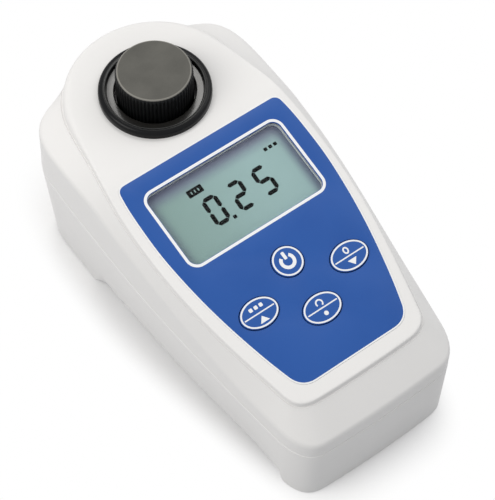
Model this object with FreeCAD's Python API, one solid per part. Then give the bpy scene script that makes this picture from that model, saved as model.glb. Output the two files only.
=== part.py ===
import FreeCAD, Part
import math
import os

# Hand-held chlorine meter. Millimetres, +Z up, origin under the middle of the case on the table.
# The vial well stands at the rear (+Y), the keys lie on the sloping panel at the front (-Y).

Vector = FreeCAD.Vector

# Case
well_plane_height = 63.0
panel_slope_deg = 11.5
crease_from_well = 21.8
crease_radius = 28.0
drum_radius = 30.4
drum_meet_deg = 39.6
drum_leave_deg = 80.0
shoulder_width = 4.2
front_apron = 16.35
plateau_step = 1.8
plateau_round = 0.9
plateau_find_share = 0.3
rim_samples = 5
shoulder_drop = 6.0
front_wall_above_parting = 6.29
case_wall = 2.4
wall_draft = 1.3
floor_wall = 2.0
foot_height = 2.4
front_foot_length = 16.5
rear_foot_length = 42.0
overrun = 10.0

# Shares of the case length from its front, and of half the width, at each point of an outline
box_rear_corner_shares = ((0.937, 0.675), (0.917, 0.838), (0.880, 0.950))
box_side_rear_shares = ((0.825, 0.995), (0.747, 1.0))
box_crease_share = 0.995
box_side_front_shares = ((0.516, 0.972), (0.394, 0.930), (0.271, 0.875), (0.149, 0.825), (0.088, 0.798))
box_front_corner_shares = ((0.039, 0.755), (0.011, 0.662), (0.003, 0.5))
box_front_share = 0.0
plateau_side_rear_shares = ((0.750, 0.905),)
plateau_crease_share = 0.966
plateau_side_front_shares = ((0.516, 1.0), (0.399, 0.975), (0.312, 0.925), (0.229, 0.857), (0.172, 0.803),
                             (0.114, 0.748))
plateau_front_corner_shares = ((0.087, 0.707), (0.071, 0.614), (0.066, 0.475))
plateau_front_share = 0.0643

# Seal in the rim of the lower case
seal_width = 0.9
seal_height = 0.9
seal_inset = 0.75

# Case screws, with their bosses
case_screw_radius = 1.5
case_screw_head_radius = 2.8
case_screw_head_height = 2.2
case_screw_bite = 8.0
case_boss_radius = 3.9
case_screw_grip = 12.0
screw_clearance = 0.25
screw_fit = 0.05
rear_screw_from_side = 9.0
rear_screw_past_well = 8.9
front_screw_from_side = 18.0
front_screw_from_front = 10.7

# Front overlay, measured along the sloping panel from the crease
overlay_margin = 3.8
overlay_from_crease = 2.2
overlay_thickness = 0.6
overlay_recess = 0.45
overlay_clearance = 0.15
overlay_rear_round = 2.0
overlay_front_round = 4.5
overlay_side_shares = ((0.0, 0.969), (0.066, 0.990), (0.175, 1.0), (0.300, 0.988), (0.412, 0.955),
                       (0.525, 0.915), (0.638, 0.859), (0.774, 0.778), (0.872, 0.712), (1.0, 0.620))

# Display window and display
window_side_margin = 6.2
window_rear_margin = 6.8
window_depth = 27.9
window_round = 3.0
lens_border = 1.4
lens_thickness = 1.0
lens_clearance = 0.1
display_side_border = 2.7
display_end_border = 3.35
display_thickness = 2.2
display_below_wall = 0.2
frame_border = 1.6
frame_ledge = 1.5
frame_clearance = 0.1
strip_width = 2.2
strip_end_gap = 1.0

# Keys: round power key and three oval ones
key_round_radius = 5.2
key_oval_half_width = 6.7
key_oval_half_depth = 4.9
key_clearance = 0.3
key_proud = 0.5
key_edge_round = 0.4
key_flange_border = 1.2
key_flange_thickness = 1.0
key_flange_gap = 0.3
key_stem_radius = 1.7
key_side_margin = 14.4
window_to_power_key = 14.3
power_to_side_key = 9.1
side_to_recall_key = 9.4
recall_key_to_front = 17.5

# Key switches on the board
switch_size = 6.0
switch_height = 3.6
plunger_radius = 1.6
plunger_clearance = 0.08
plunger_height = 2.4
plunger_proud = 0.9
plunger_room = 0.9

# Main board and what it carries
board_thickness = 1.6
board_below_panel = 9.4
board_rear_margin = 1.35
board_side_margin = 0.3
board_past_recall_key = 10.9
board_past_side_key = 0.7
board_taper_share = 0.52
board_boss_radius = 2.6
board_screw_radius = 1.15
board_screw_head_radius = 2.2
board_screw_head_height = 1.5
board_screw_bite = 4.5
board_hole_clearance = 0.2
board_boss_inset = 4.5
board_boss_past_window = 9.6
board_boss_from_front = 3.6
chip_size = 12.0
chip_thickness = 1.6
chip_past_window_middle = 4.05
socket_width = 7.0
socket_depth = 4.0
socket_height = 3.4
socket_side_margin = 10.5
socket_past_window_rear = 5.0
socket_past_power_key = 6.8

# Well collar and its seal
collar_radius = 18.6
collar_land_radius = 16.2
collar_land_height = 1.3
collar_height = 2.9
collar_crest_round = 1.1
collar_skirt_radius = 15.2
collar_skirt_clearance = 0.1
collar_seal_radius = 16.9
collar_seal_width = 1.4
collar_seal_height = 1.0

# Optics block with the vial well
well_clearance = 0.3
well_floor_height = 13.8
well_floor_thickness = 3.0
well_wall = 3.2
block_flange_border = 3.4
block_flange_thickness = 3.0
block_drum_gap = 1.7
light_height_share = 0.432
light_path_radius = 2.0
pod_reach = 23.0
pod_width = 18.0
pod_height = 18.0
pod_side_room = 17.0
block_screw_radius = 1.15
block_screw_head_radius = 2.2
block_screw_head_height = 1.5
block_screw_bite = 4.0
block_boss_radius = 2.8
block_boss_height = 5.5

# Lamp side and detector side of the light path
lamp_radius = 2.5
lamp_rim_radius = 2.9
lamp_rim_thickness = 1.0
lamp_body_length = 3.6
lamp_clearance = 0.1
filter_radius = 5.0
filter_thickness = 3.0
detector_radius = 4.1
detector_length = 3.2
detector_window_radius = 2.8
detector_window_depth = 0.4
optics_board_thickness = 1.6
optics_board_width = 17.0
optics_board_height = 20.0
optics_board_screw_offset = 7.4
optics_board_screw_bite = 4.0

# Vial, cap and liner
vial_radius = 12.0
vial_wall = 1.2
vial_base = 1.8
vial_seat_gap = 0.1
vial_shoulder_rise = 2.0
neck_radius = 9.9
neck_wall = 1.3
neck_below_cap = 0.2
thread_pitch = 4.0
thread_depth = 0.8
thread_root_height = 1.5
thread_crest_height = 0.7
thread_start_rise = 2.4
thread_end_room = 3.9
cap_radius = 13.0
cap_height = 15.6
cap_sink = 3.8
cap_top_thickness = 1.8
cap_bevel_width = 1.2
cap_bevel_height = 1.3
cap_bore_clearance = 0.4
cap_rib_count = 64
cap_rib_depth = 0.45
thread_sink_share = 0.25
liner_thickness = 1.25
liner_clearance = 0.2
liner_gap = 0.05

# Battery bay, door, cells and contacts
cell_radius = 5.25
cell_length = 43.3
cell_nub_radius = 1.9
cell_nub_length = 1.0
cell_pitch = 11.0
cell_count = 4
bay_wall = 1.6
bay_from_well = 30.6
bay_end_room = 4.0
bay_lip = 2.2
bay_stop_reach = 1.2
cell_clearance = 0.3
door_clearance = 0.4
door_tab_gap = 0.3
door_tab_width = 8.0
door_tab_reach = 1.8
door_tab_thickness = 1.2
door_tab_x = 15.0
door_grip_radius = 7.0
door_grip_depth = 0.7
contact_thickness = 0.4
contact_width = 8.0
contact_height = 8.0
contact_tail_width = 2.0
contact_tail_rise = 3.0
contact_slot_clearance = 0.15
spring_wire_radius = 0.3
spring_radius = 3.0
spring_turns = 4
spring_end_gap = 0.05
lead_radius = 0.6
lead_bend = 3.0
lead_bend_run_share = 0.45
lead_level_share = 0.55
lead_end_gap = 0.2
lead_pair_gap = 0.9
lead_from_side_wall = 6.6
optics_lead_rise_share = 0.45

# Sizes that follow from the ones above: the panel from its rows, the case from the panel and the optics
case_width = 2 * (pod_reach + pod_side_room)
plateau_width = case_width - 2 * shoulder_width
overlay_width = plateau_width - 2 * overlay_margin
window_width = overlay_width - 2 * window_side_margin
window_from_crease = overlay_from_crease + window_rear_margin
power_key_from_crease = window_from_crease + window_depth + window_to_power_key
side_key_from_crease = power_key_from_crease + power_to_side_key
recall_key_from_crease = side_key_from_crease + side_to_recall_key
overlay_length = recall_key_from_crease + recall_key_to_front - overlay_from_crease
panel_run = (overlay_from_crease + overlay_length) * math.cos(math.radians(panel_slope_deg))
case_length = drum_radius + crease_from_well + panel_run + front_apron
display_width = window_width + 2 * display_side_border
display_depth = window_depth + 2 * display_end_border
display_seat_border = frame_clearance + frame_border
key_side_x = overlay_width / 2 - key_side_margin
board_rear_width = display_width + 2 * (display_seat_border + board_side_margin)
board_front_width = 2 * (key_side_x + key_oval_half_width + board_past_side_key)
board_rear_from_crease = window_from_crease - display_end_border - display_seat_border - board_rear_margin
board_length = recall_key_from_crease + board_past_recall_key - board_rear_from_crease

# Places worked out from the sizes above
front_y = -case_length / 2
well_y = case_length / 2 - drum_radius
crease_y = well_y - crease_from_well
panel_fall = math.tan(math.radians(panel_slope_deg))
panel_turn = FreeCAD.Rotation(Vector(1, 0, 0), panel_slope_deg)
panel_placement = FreeCAD.Placement(Vector(0, crease_y, well_plane_height), panel_turn)
front_shoulder_height = well_plane_height - shoulder_drop + (front_y - crease_y) * panel_fall
parting_height = front_shoulder_height - front_wall_above_parting
case_screw_head_depth = parting_height - case_screw_grip
floor_top = foot_height + floor_wall
wall_below = -case_wall * math.cos(math.radians(panel_slope_deg))
overlay_top = overlay_thickness - overlay_recess
window_v = -window_from_crease - window_depth / 2
board_top = -board_below_panel
board_bottom = board_top - board_thickness
switch_top = board_top + switch_height
plunger_top = switch_top + plunger_proud
display_top = wall_below - display_below_wall
display_bottom = display_top - display_thickness
block_top = well_plane_height - case_wall
block_bottom = well_floor_height - well_floor_thickness
flange_top = block_top - block_boss_height
flange_reach = drum_radius - case_wall - block_drum_gap
block_screw_offset = (flange_reach - block_boss_radius) * math.sin(math.radians(45))
light_height = well_floor_height + light_height_share * (block_top - well_floor_height)
cap_bottom_height = well_plane_height - cap_sink
cap_top_height = cap_bottom_height + cap_height
cap_inner_top = cap_top_height - cap_top_thickness
neck_top_height = cap_inner_top - liner_gap - liner_thickness - liner_clearance
neck_base_height = cap_bottom_height - neck_below_cap
vial_shoulder_height = neck_base_height - vial_shoulder_rise
thread_start_height = cap_bottom_height + thread_start_rise
thread_height = neck_top_height - thread_start_height - thread_end_room
collar_inner_radius = cap_radius + well_clearance
cap_pocket_floor = cap_bottom_height - 2 * well_clearance
cap_bore_radius = neck_radius + thread_depth + cap_bore_clearance
filter_x = pod_reach - detector_length - filter_thickness
well_radius = vial_radius + well_clearance
bay_rear_y = well_y - bay_from_well
bay_half_width = cell_length / 2 + bay_end_room
bay_depth = cell_count * cell_pitch + bay_lip
bay_front_y = bay_rear_y - bay_depth
door_seat = floor_top + door_tab_gap
door_front_y = bay_front_y + bay_lip + door_clearance
cell_z = door_seat + door_tab_thickness + cell_clearance + cell_radius
cell_rows = [bay_rear_y - (i + 1 / 2) * cell_pitch for i in range(cell_count)]
bay_top = cell_z + cell_radius + cell_clearance
tail_top = bay_top + bay_wall + contact_tail_rise
tail_half = contact_tail_width / 2 + contact_slot_clearance
tail_places = [(bay_half_width - contact_thickness, cell_rows[i]) for i in (0, cell_count - 1)]
sides = (1, -1)
case_screw_pair = ((case_width / 2 - rear_screw_from_side, well_y + rear_screw_past_well),
                   (case_width / 2 - front_screw_from_side, front_y + front_screw_from_front))
case_screw_places = [(s * x, y) for s in sides for x, y in case_screw_pair]
board_front_v = -board_rear_from_crease - board_length
board_screw_pair = ((board_rear_width / 2 - board_boss_inset,
                     -window_from_crease - window_depth - board_boss_past_window),
                    (board_front_width / 2 - board_boss_inset, board_front_v + board_boss_from_front))
board_screw_places = [(s * x, v) for s in sides for x, v in board_screw_pair]
block_screw_pair = [(s * block_screw_offset, well_y + block_screw_offset) for s in sides]
block_screw_places = block_screw_pair + [(x, 2 * well_y - y) for x, y in block_screw_pair]
socket_x = board_rear_width / 2 - socket_side_margin
socket_rear_v = -window_from_crease - socket_past_window_rear
socket_front_v = -power_key_from_crease - socket_past_power_key
socket_places = [(-socket_x, socket_rear_v), (socket_x, socket_rear_v), (socket_x, socket_front_v)]
key_places = {"power": (0, -power_key_from_crease), "zero": (key_side_x, -side_key_from_crease),
              "mode": (-key_side_x, -side_key_from_crease), "recall": (0, -recall_key_from_crease)}


# Basic shapes
def box(x0, x1, y0, y1, z0, z1):
    """Block between two corners."""
    return Part.makeBox(x1 - x0, y1 - y0, z1 - z0, Vector(x0, y0, z0))


def rod(radius, z0, z1, x=0, y=0):
    """Upright cylinder between two heights."""
    return Part.makeCylinder(radius, z1 - z0, Vector(x, y, z0))


def cross_rod(radius, x0, x1, y, z):
    """Cylinder lying along X between two places."""
    return Part.makeCylinder(radius, x1 - x0, Vector(x0, y, z), Vector(1, 0, 0))


def turned(points, x=0, y=0):
    """Solid of revolution about an upright axis from (radius, height) points."""
    wire = Part.makePolygon([Vector(r, 0, z) for r, z in points + [points[0]]])
    solid = Part.Face(wire).revolve(Vector(0, 0, 0), Vector(0, 0, 1), 360)
    solid.translate(Vector(x, y, 0))
    return solid


def on_panel(shape):
    """Moves a shape from the panel's own flat frame to the sloping panel."""
    placed = shape.copy()
    placed.Placement = panel_placement.multiply(placed.Placement)
    return placed


def rounded_block(width, depth, radius, z0, z1, centre_v):
    """Block in the panel frame with rounded upright edges."""
    block = box(-width / 2, width / 2, centre_v - depth / 2, centre_v + depth / 2, z0, z1)
    upright = [edge for edge in block.Edges if edge.BoundBox.XLength + edge.BoundBox.YLength < radius]
    return block.makeFillet(radius, upright)


# Case form
def plan_point(shares, width, inset):
    """Right-hand plan point of an outline from its shares, drawn in by an inset."""
    along, across = shares
    return (across * (width / 2 - inset), (along - 1 / 2) * (case_length - 2 * inset))


def drum_point(angle_deg, inset):
    """Plan point on the round drum at an angle from the rear."""
    angle = math.radians(angle_deg)
    radius = drum_radius - inset
    return (radius * math.sin(angle), well_y + radius * math.cos(angle))


def box_runs(inset):
    """Right-hand runs of the case outline from the drum to the front."""
    def points(shares):
        return [plan_point(pair, case_width, inset) for pair in shares]
    crease = (box_crease_share * (case_width / 2 - inset), crease_y)
    side_rear = points(box_side_rear_shares) + [crease]
    corner = [drum_point(drum_meet_deg, inset)] + points(box_rear_corner_shares) + side_rear[:1]
    side_front = [crease] + points(box_side_front_shares)
    front_corner = side_front[-1:] + points(box_front_corner_shares)
    front = plan_point((box_front_share, 0), case_width, inset)
    return [corner, side_rear, side_front, front_corner], front


def plateau_runs(inset):
    """Right-hand runs of the raised panel's outline from the drum to the front."""
    def points(shares):
        return [plan_point(pair, plateau_width, inset) for pair in shares]
    crease = (plateau_crease_share * (plateau_width / 2 - inset), crease_y)
    steps = 4
    turn = (drum_leave_deg - drum_meet_deg) / steps
    corner = [drum_point(drum_meet_deg + i * turn, inset) for i in range(steps + 1)]
    side_rear = corner[-1:] + points(plateau_side_rear_shares) + [crease]
    side_front = [crease] + points(plateau_side_front_shares)
    front_corner = side_front[-1:] + points(plateau_front_corner_shares)
    front = plan_point((plateau_front_share, 0), plateau_width, inset)
    return [corner, side_rear, side_front, front_corner], front


def panel_level(drop):
    """Height over the plan of a surface parallel to the top, some way below it."""
    return lambda y: well_plane_height - drop + min(0, y - crease_y) * panel_fall


def flat_level(height):
    """Height over the plan of a level surface."""
    return lambda y: height


def lifted_edge(points, start, end, level):
    """Smooth edge through plan points at a level, leaving and arriving in given plan directions."""
    raised = [Vector(x, y, level(y)) for x, y in points]
    low, high = min(raised, key=lambda p: p.y), max(raised, key=lambda p: p.y)
    climb = (high.z - low.z) / (high.y - low.y)
    tangents = [Vector(x, y, y * climb) for x, y in (start, end)]
    curve = Part.BSplineCurve()
    curve.interpolate(Points=raised, InitialTangent=tangents[0], FinalTangent=tangents[1])
    return curve.toShape()


def direction(first, last):
    """Plan direction from one point to another."""
    return (last[0] - first[0], last[1] - first[1])


def mirrored(points):
    """The same plan points on the left, in the opposite order."""
    return [(-x, y) for x, y in reversed(points)]


def outline_wire(runs, front, inset, level):
    """Closed wire of an outline at a level: drum, right side, front, left side."""
    left, rear, right = (drum_point(a, inset) for a in (-drum_meet_deg, 0, drum_meet_deg))
    arc = Part.Arc(*[Vector(x, y, level(y)) for x, y in (left, rear, right)])
    nose = [runs[-1][-1], front, (-runs[-1][-1][0], runs[-1][-1][1])]
    joins = [direction(runs[0][0], runs[0][1])]
    joins += [direction(a[-2], b[1]) for a, b in zip(runs, runs[1:])]
    joins += [direction(runs[-1][-2], front)]
    edges = [arc.toShape()]
    edges += [lifted_edge(run, joins[i], joins[i + 1], level) for i, run in enumerate(runs)]
    back = [(x, -y) for x, y in joins]
    edges.append(lifted_edge(nose, joins[-1], back[-1], level))
    for i in reversed(range(len(runs))):
        edges.append(lifted_edge(mirrored(runs[i]), back[i + 1], back[i], level))
    return Part.Wire(edges)


def below_top(drop):
    """Prism under a surface parallel to the top of the case."""
    side = case_width / 2 + overrun
    rear = case_length / 2 + overrun
    front = front_y - overrun
    top = well_plane_height - drop
    front_top = top + (front - crease_y) * panel_fall
    profile = [(rear, -overrun), (rear, top), (crease_y, top), (front, front_top), (front, -overrun)]
    wire = Part.makePolygon([Vector(-side, y, z) for y, z in profile + [profile[0]]])
    prism = Part.Face(wire).extrude(Vector(2 * side, 0, 0))
    lines = [e for e in prism.Edges if e.BoundBox.XLength > side]
    crease = min(lines, key=lambda e: e.CenterOfMass.distanceToPoint(Vector(0, crease_y, top)))
    return prism.makeFillet(crease_radius, [crease])


def case_form(inset, drop, base):
    """Whole body of the case, drawn in and lowered by a wall, from a base height up."""
    box_shape, box_front = box_runs(inset)
    foot_shape, foot_front = box_runs(inset + wall_draft)
    top_shape, top_front = plateau_runs(inset)
    wires = [outline_wire(foot_shape, foot_front, inset + wall_draft, flat_level(base)),
             outline_wire(box_shape, box_front, inset, panel_level(drop + shoulder_drop)),
             outline_wire(top_shape, top_front, inset, panel_level(drop + plateau_step)),
             outline_wire(top_shape, top_front, inset, flat_level(well_plane_height + overrun))]
    return Part.makeLoft(wires, True, True).common(below_top(drop))


def rounded_rim(body):
    """Rounds the upper edge of the raised panel."""
    level = panel_level(0)
    reach = plateau_find_share * plateau_round
    rim = []
    for edge in body.Edges:
        on_top = all(abs(p.z - level(p.y)) < reach for p in edge.discretize(rim_samples))
        across = edge.BoundBox.YLength + edge.BoundBox.ZLength < reach * plateau_find_share
        if on_top and not across:
            rim.append(edge)
    return body.makeFillet(plateau_round, rim)


def slab(z0, z1):
    """Wide level slab that covers the whole case."""
    reach = case_length
    return box(-reach, reach, -reach, reach, z0, z1)


# Panel pieces
def overlay_prism(z0, z1, grow):
    """Prism of the overlay's outline in the panel frame, grown by a clearance."""
    rear_v = grow - overlay_from_crease
    length = overlay_length + 2 * grow
    half = overlay_width / 2 + grow
    right = [Vector(across * half, rear_v - along * length, z0) for along, across in overlay_side_shares]
    left = [Vector(-p.x, p.y, p.z) for p in reversed(right)]
    sides = []
    for points in (right, left):
        curve = Part.BSplineCurve()
        curve.interpolate(Points=points)
        sides.append(curve.toShape())
    front = Part.makeLine(right[-1], left[0])
    rear = Part.makeLine(left[-1], right[0])
    prism = Part.Face(Part.Wire([sides[0], front, sides[1], rear])).extrude(Vector(0, 0, z1 - z0))
    middle = rear_v - length / 2
    upright = [e for e in prism.Edges if e.BoundBox.YLength < z1 - z0 and e.BoundBox.ZLength > (z1 - z0) / 2]
    at_rear = [e for e in upright if e.CenterOfMass.y > middle]
    at_front = [e for e in upright if e.CenterOfMass.y < middle]
    prism = prism.makeFillet(overlay_rear_round, at_rear)
    corners = []
    for edge in at_front:
        corners.append(min(prism.Edges, key=lambda e: e.CenterOfMass.distanceToPoint(edge.CenterOfMass)))
    return prism.makeFillet(overlay_front_round, corners)


def key_prism(name, grow, z0, z1):
    """Upright prism of a key's outline in the panel frame, grown by a border."""
    x, v = key_places[name]
    if name == "power":
        return rod(key_round_radius + grow, z0, z1, x, v)
    ellipse = Part.Ellipse(Vector(x, v, z0), key_oval_half_width + grow, key_oval_half_depth + grow)
    return Part.Face(Part.Wire(ellipse.toShape())).extrude(Vector(0, 0, z1 - z0))


def window_block(border, z0, z1):
    """Block over the display window, widened by a border."""
    width = window_width + 2 * border
    depth = window_depth + 2 * border
    return rounded_block(width, depth, window_round, z0, z1, window_v)


def front_overlay():
    """Printed overlay in its recess, open at the window and the keys."""
    sheet = overlay_prism(-overlay_recess, overlay_top, 0)
    holes = [key_prism(name, key_clearance, -overrun, overrun) for name in key_places]
    return on_panel(sheet.cut(holes + [window_block(0, -overrun, overrun)]))


def window_lens():
    """Clear pane under the overlay, seated in a rebate of the case."""
    return on_panel(window_block(lens_border, -overlay_recess - lens_thickness, -overlay_recess))


def key(name):
    """Key with its top through the overlay, a flange behind the wall and a stem to the switch."""
    top = overlay_top + key_proud
    flange_top = wall_below - key_flange_gap
    flange_bottom = flange_top - key_flange_thickness
    button = key_prism(name, 0, flange_top, top)
    rim = [e for e in button.Edges if abs(e.CenterOfMass.z - top) < key_edge_round]
    button = button.makeFillet(key_edge_round, rim)
    flange = key_prism(name, key_clearance + key_flange_border, flange_bottom, flange_top)
    x, v = key_places[name]
    stem = rod(key_stem_radius, plunger_top, flange_bottom, x, v)
    return on_panel(button.fuse([flange, stem]).removeSplitter())


def switch_plunger(name):
    """Plunger of a key's switch, under the key's stem."""
    x, v = key_places[name]
    return on_panel(rod(plunger_radius, plunger_top - plunger_height, plunger_top, x, v))


def key_switches():
    """Switch bodies on the board, one under each key, bored for the plungers."""
    bodies = []
    for x, v in key_places.values():
        half = switch_size / 2
        body = box(x - half, x + half, v - half, v + half, board_top, switch_top)
        bore_floor = plunger_top - plunger_height - plunger_room
        bore = rod(plunger_radius + plunger_clearance, bore_floor, overrun, x, v)
        bodies.append(on_panel(body.cut(bore)))
    return Part.makeCompound(bodies)


def lcd_panel():
    """Glass display behind the window."""
    return on_panel(box(-display_width / 2, display_width / 2, window_v - display_depth / 2,
                        window_v + display_depth / 2, display_bottom, display_top))


def lcd_frame():
    """Frame that stands on the board and holds the display and its contact strips."""
    half_x = display_width / 2 + frame_clearance
    half_v = display_depth / 2 + frame_clearance
    rim = box(-half_x - frame_border, half_x + frame_border, window_v - half_v - frame_border,
              window_v + half_v + frame_border, board_top, wall_below)
    seat = box(-half_x, half_x, window_v - half_v, window_v + half_v, display_bottom, overrun)
    open_x = half_x - frame_ledge
    well = box(-open_x, open_x, window_v - half_v, window_v + half_v, board_bottom, overrun)
    return on_panel(rim.cut([seat, well]))


def contact_strips():
    """Rubber contact strips between the board and the display's long edges."""
    half_x = display_width / 2 - frame_ledge - strip_end_gap
    outer = display_depth / 2
    inner = outer - strip_width
    strips = [box(-half_x, half_x, window_v + inner, window_v + outer, board_top, display_bottom),
              box(-half_x, half_x, window_v - outer, window_v - inner, board_top, display_bottom)]
    return Part.makeCompound([on_panel(strip) for strip in strips])


def main_board():
    """Main circuit board under the panel, tapered to the front."""
    rear_v = -board_rear_from_crease
    bend_v = rear_v - board_taper_share * board_length
    wide = board_rear_width / 2
    right = [(wide, rear_v), (wide, bend_v), (board_front_width / 2, board_front_v)]
    points = right + [(-x, v) for x, v in reversed(right)]
    wire = Part.makePolygon([Vector(x, v, board_bottom) for x, v in points + points[:1]])
    plate = Part.Face(wire).extrude(Vector(0, 0, board_thickness))
    hole = board_screw_radius + board_hole_clearance
    holes = [rod(hole, board_bottom, board_top, x, v) for x, v in board_screw_places]
    return on_panel(plate.cut(holes))


def board_screws():
    """Screws that hold the board to its bosses."""
    screws = []
    for x, v in board_screw_places:
        head = rod(board_screw_head_radius, board_bottom - board_screw_head_height, board_bottom, x, v)
        shank = rod(board_screw_radius, board_bottom, board_top + board_screw_bite, x, v)
        screws.append(on_panel(head.fuse(shank).removeSplitter()))
    return Part.makeCompound(screws)


def controller_chip():
    """Controller chip on the underside of the board."""
    half = chip_size / 2
    middle = window_v - chip_past_window_middle
    chip_bottom = board_bottom - chip_thickness
    return on_panel(box(-half, half, middle - half, middle + half, chip_bottom, board_bottom))


def lead_sockets():
    """Sockets on the underside of the board where the leads plug in."""
    sockets = []
    for x, v in socket_places:
        sockets.append(on_panel(box(x - socket_width / 2, x + socket_width / 2, v - socket_depth / 2,
                                    v + socket_depth / 2, board_bottom - socket_height, board_bottom)))
    return Part.makeCompound(sockets)


# Case halves and their seal
def upper_case(outer, inner):
    """Upper shell with its bosses and all its openings."""
    shell = outer.cut(inner)
    bosses = [rod(case_boss_radius, parting_height, well_plane_height, x, y) for x, y in case_screw_places]
    bosses += [on_panel(rod(board_boss_radius, board_top, 0, x, v)) for x, v in board_screw_places]
    bosses += [rod(block_boss_radius, flange_top, well_plane_height, x, y) for x, y in block_screw_places]
    shell = shell.fuse([boss.common(inner) for boss in bosses])
    shell = shell.common(slab(parting_height, well_plane_height + overrun))
    cuts = [rod(case_screw_radius + screw_fit, 0, parting_height + case_screw_bite + screw_fit, x, y)
            for x, y in case_screw_places]
    board_core = board_screw_radius + screw_fit
    board_bite = board_top + board_screw_bite + screw_fit
    cuts += [on_panel(rod(board_core, board_bottom, board_bite, x, v)) for x, v in board_screw_places]
    block_core = block_screw_radius + screw_fit
    block_bite = flange_top + block_screw_bite + screw_fit
    cuts += [rod(block_core, block_bottom, block_bite, x, y) for x, y in block_screw_places]
    mouth = collar_skirt_radius + collar_skirt_clearance
    cuts += [on_panel(key_prism(name, key_clearance, -overrun, overrun)) for name in key_places]
    lens_seat = -overlay_recess - lens_thickness
    cuts += [on_panel(overlay_prism(-overlay_recess, overrun, overlay_clearance)),
             on_panel(window_block(lens_border + lens_clearance, lens_seat, overrun)),
             on_panel(window_block(0, -overrun, overrun)),
             rod(mouth, block_bottom, well_plane_height + overrun, 0, well_y),
             collar_seal()]
    return shell.cut(cuts)


def case_seal():
    """Seal ring laid in the rim between the two halves of the case."""
    ring = case_form(seal_inset, case_wall, 0).cut(case_form(seal_inset + seal_width, case_wall, 0))
    return ring.common(slab(parting_height - seal_height, parting_height))


def lower_case(outer, inner):
    """Lower shell with its feet, screw bosses and battery bay."""
    shell = outer.cut(inner).common(slab(0, parting_height))
    bosses = [rod(case_boss_radius, 0, parting_height, x, y).common(inner) for x, y in case_screw_places]
    side = bay_half_width + bay_wall
    tub = box(-side, side, bay_front_y - bay_wall, bay_rear_y + bay_wall, floor_top, bay_top + bay_wall)
    shell = shell.fuse(bosses + [tub])
    head_hole = case_screw_head_radius + screw_clearance
    cuts = [rod(head_hole, 0, case_screw_head_depth, x, y) for x, y in case_screw_places]
    cuts += [rod(case_screw_radius + screw_clearance, 0, parting_height, x, y) for x, y in case_screw_places]
    front_foot = front_y + front_foot_length
    rear_foot = case_length / 2 - rear_foot_length
    cuts += [box(-case_width, case_width, front_foot, rear_foot, -overrun, foot_height),
             box(-bay_half_width, bay_half_width, bay_front_y, bay_rear_y, floor_top, bay_top),
             box(-bay_half_width, bay_half_width, bay_front_y + bay_lip, bay_rear_y, -overrun, bay_top),
             case_seal()]
    slot = contact_slot_clearance
    for x, y in tail_places:
        back = x + contact_thickness + slot
        cuts.append(box(x - slot, back, y - tail_half, y + tail_half, cell_z, bay_top + overrun))
    stop_top = door_seat + door_tab_thickness
    stop = box(-door_tab_x, door_tab_x, bay_rear_y - bay_stop_reach, bay_rear_y, door_seat, stop_top)
    return shell.cut(cuts).fuse(stop).removeSplitter()


def case_screws():
    """Screws from below that close the case."""
    screws = []
    for x, y in case_screw_places:
        seat = case_screw_head_depth
        head = rod(case_screw_head_radius, seat - case_screw_head_height, seat, x, y)
        shank = rod(case_screw_radius, seat, parting_height + case_screw_bite, x, y)
        screws.append(head.fuse(shank).removeSplitter())
    return Part.makeCompound(screws)


# Well and optics
def well_collar():
    """Collar round the well mouth, with a rounded crest, a flat land and a skirt through the case."""
    base = well_plane_height
    crest = base + collar_height
    land = base + collar_land_height
    points = [(collar_inner_radius, block_top), (collar_skirt_radius, block_top)]
    points += [(collar_skirt_radius, base), (collar_radius, base)]
    points += [(collar_radius, crest), (collar_land_radius, crest)]
    points += [(collar_land_radius, land), (collar_inner_radius, land)]
    ring = turned(points, 0, well_y)
    rim = [e for e in ring.Edges if e.BoundBox.ZMin > crest - collar_crest_round and len(e.Vertexes) == 1]
    return ring.makeFillet(collar_crest_round, rim)


def collar_seal():
    """Seal ring under the collar."""
    near = collar_seal_radius - collar_seal_width / 2
    far = collar_seal_radius + collar_seal_width / 2
    top = well_plane_height
    low = top - collar_seal_height
    return turned([(near, low), (far, low), (far, top), (near, top)], 0, well_y)


def optics_block():
    """Block with the vial well, its light path, and seats for lamp, filter and detector."""
    tube = rod(well_radius + well_wall, block_bottom, block_top, 0, well_y)
    pods = box(-pod_reach, pod_reach, well_y - pod_width / 2, well_y + pod_width / 2,
               light_height - pod_height / 2, light_height + pod_height / 2)
    half = block_screw_offset + block_flange_border
    flange = box(-half, half, well_y - half, well_y + half, flange_top - block_flange_thickness, flange_top)
    flange = flange.common(rod(flange_reach, block_bottom, block_top, 0, well_y))
    body = tube.fuse([pods, flange])
    fit = lamp_clearance
    lamp_end = lamp_rim_thickness + lamp_body_length + lamp_radius + fit
    rim_end = lamp_rim_thickness - pod_reach
    cuts = [rod(well_radius, well_floor_height, block_top, 0, well_y),
            rod(collar_inner_radius, cap_pocket_floor, block_top, 0, well_y),
            cross_rod(light_path_radius, -pod_reach, pod_reach, well_y, light_height),
            cross_rod(lamp_radius + fit, -pod_reach, lamp_end - pod_reach, well_y, light_height),
            cross_rod(lamp_rim_radius + fit, -pod_reach, rim_end, well_y, light_height),
            cross_rod(filter_radius + fit, filter_x, pod_reach, well_y, light_height)]
    hole = block_screw_radius + screw_clearance
    cuts += [rod(hole, block_bottom, block_top, x, y) for x, y in block_screw_places]
    deep = optics_board_screw_bite + screw_fit
    for s in (1, -1):
        y = well_y + s * optics_board_screw_offset
        cuts.append(cross_rod(block_screw_radius + screw_fit, -pod_reach, deep - pod_reach, y, light_height))
        cuts.append(cross_rod(block_screw_radius + screw_fit, pod_reach - deep, pod_reach, y, light_height))
    return body.cut(cuts).removeSplitter()


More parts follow.
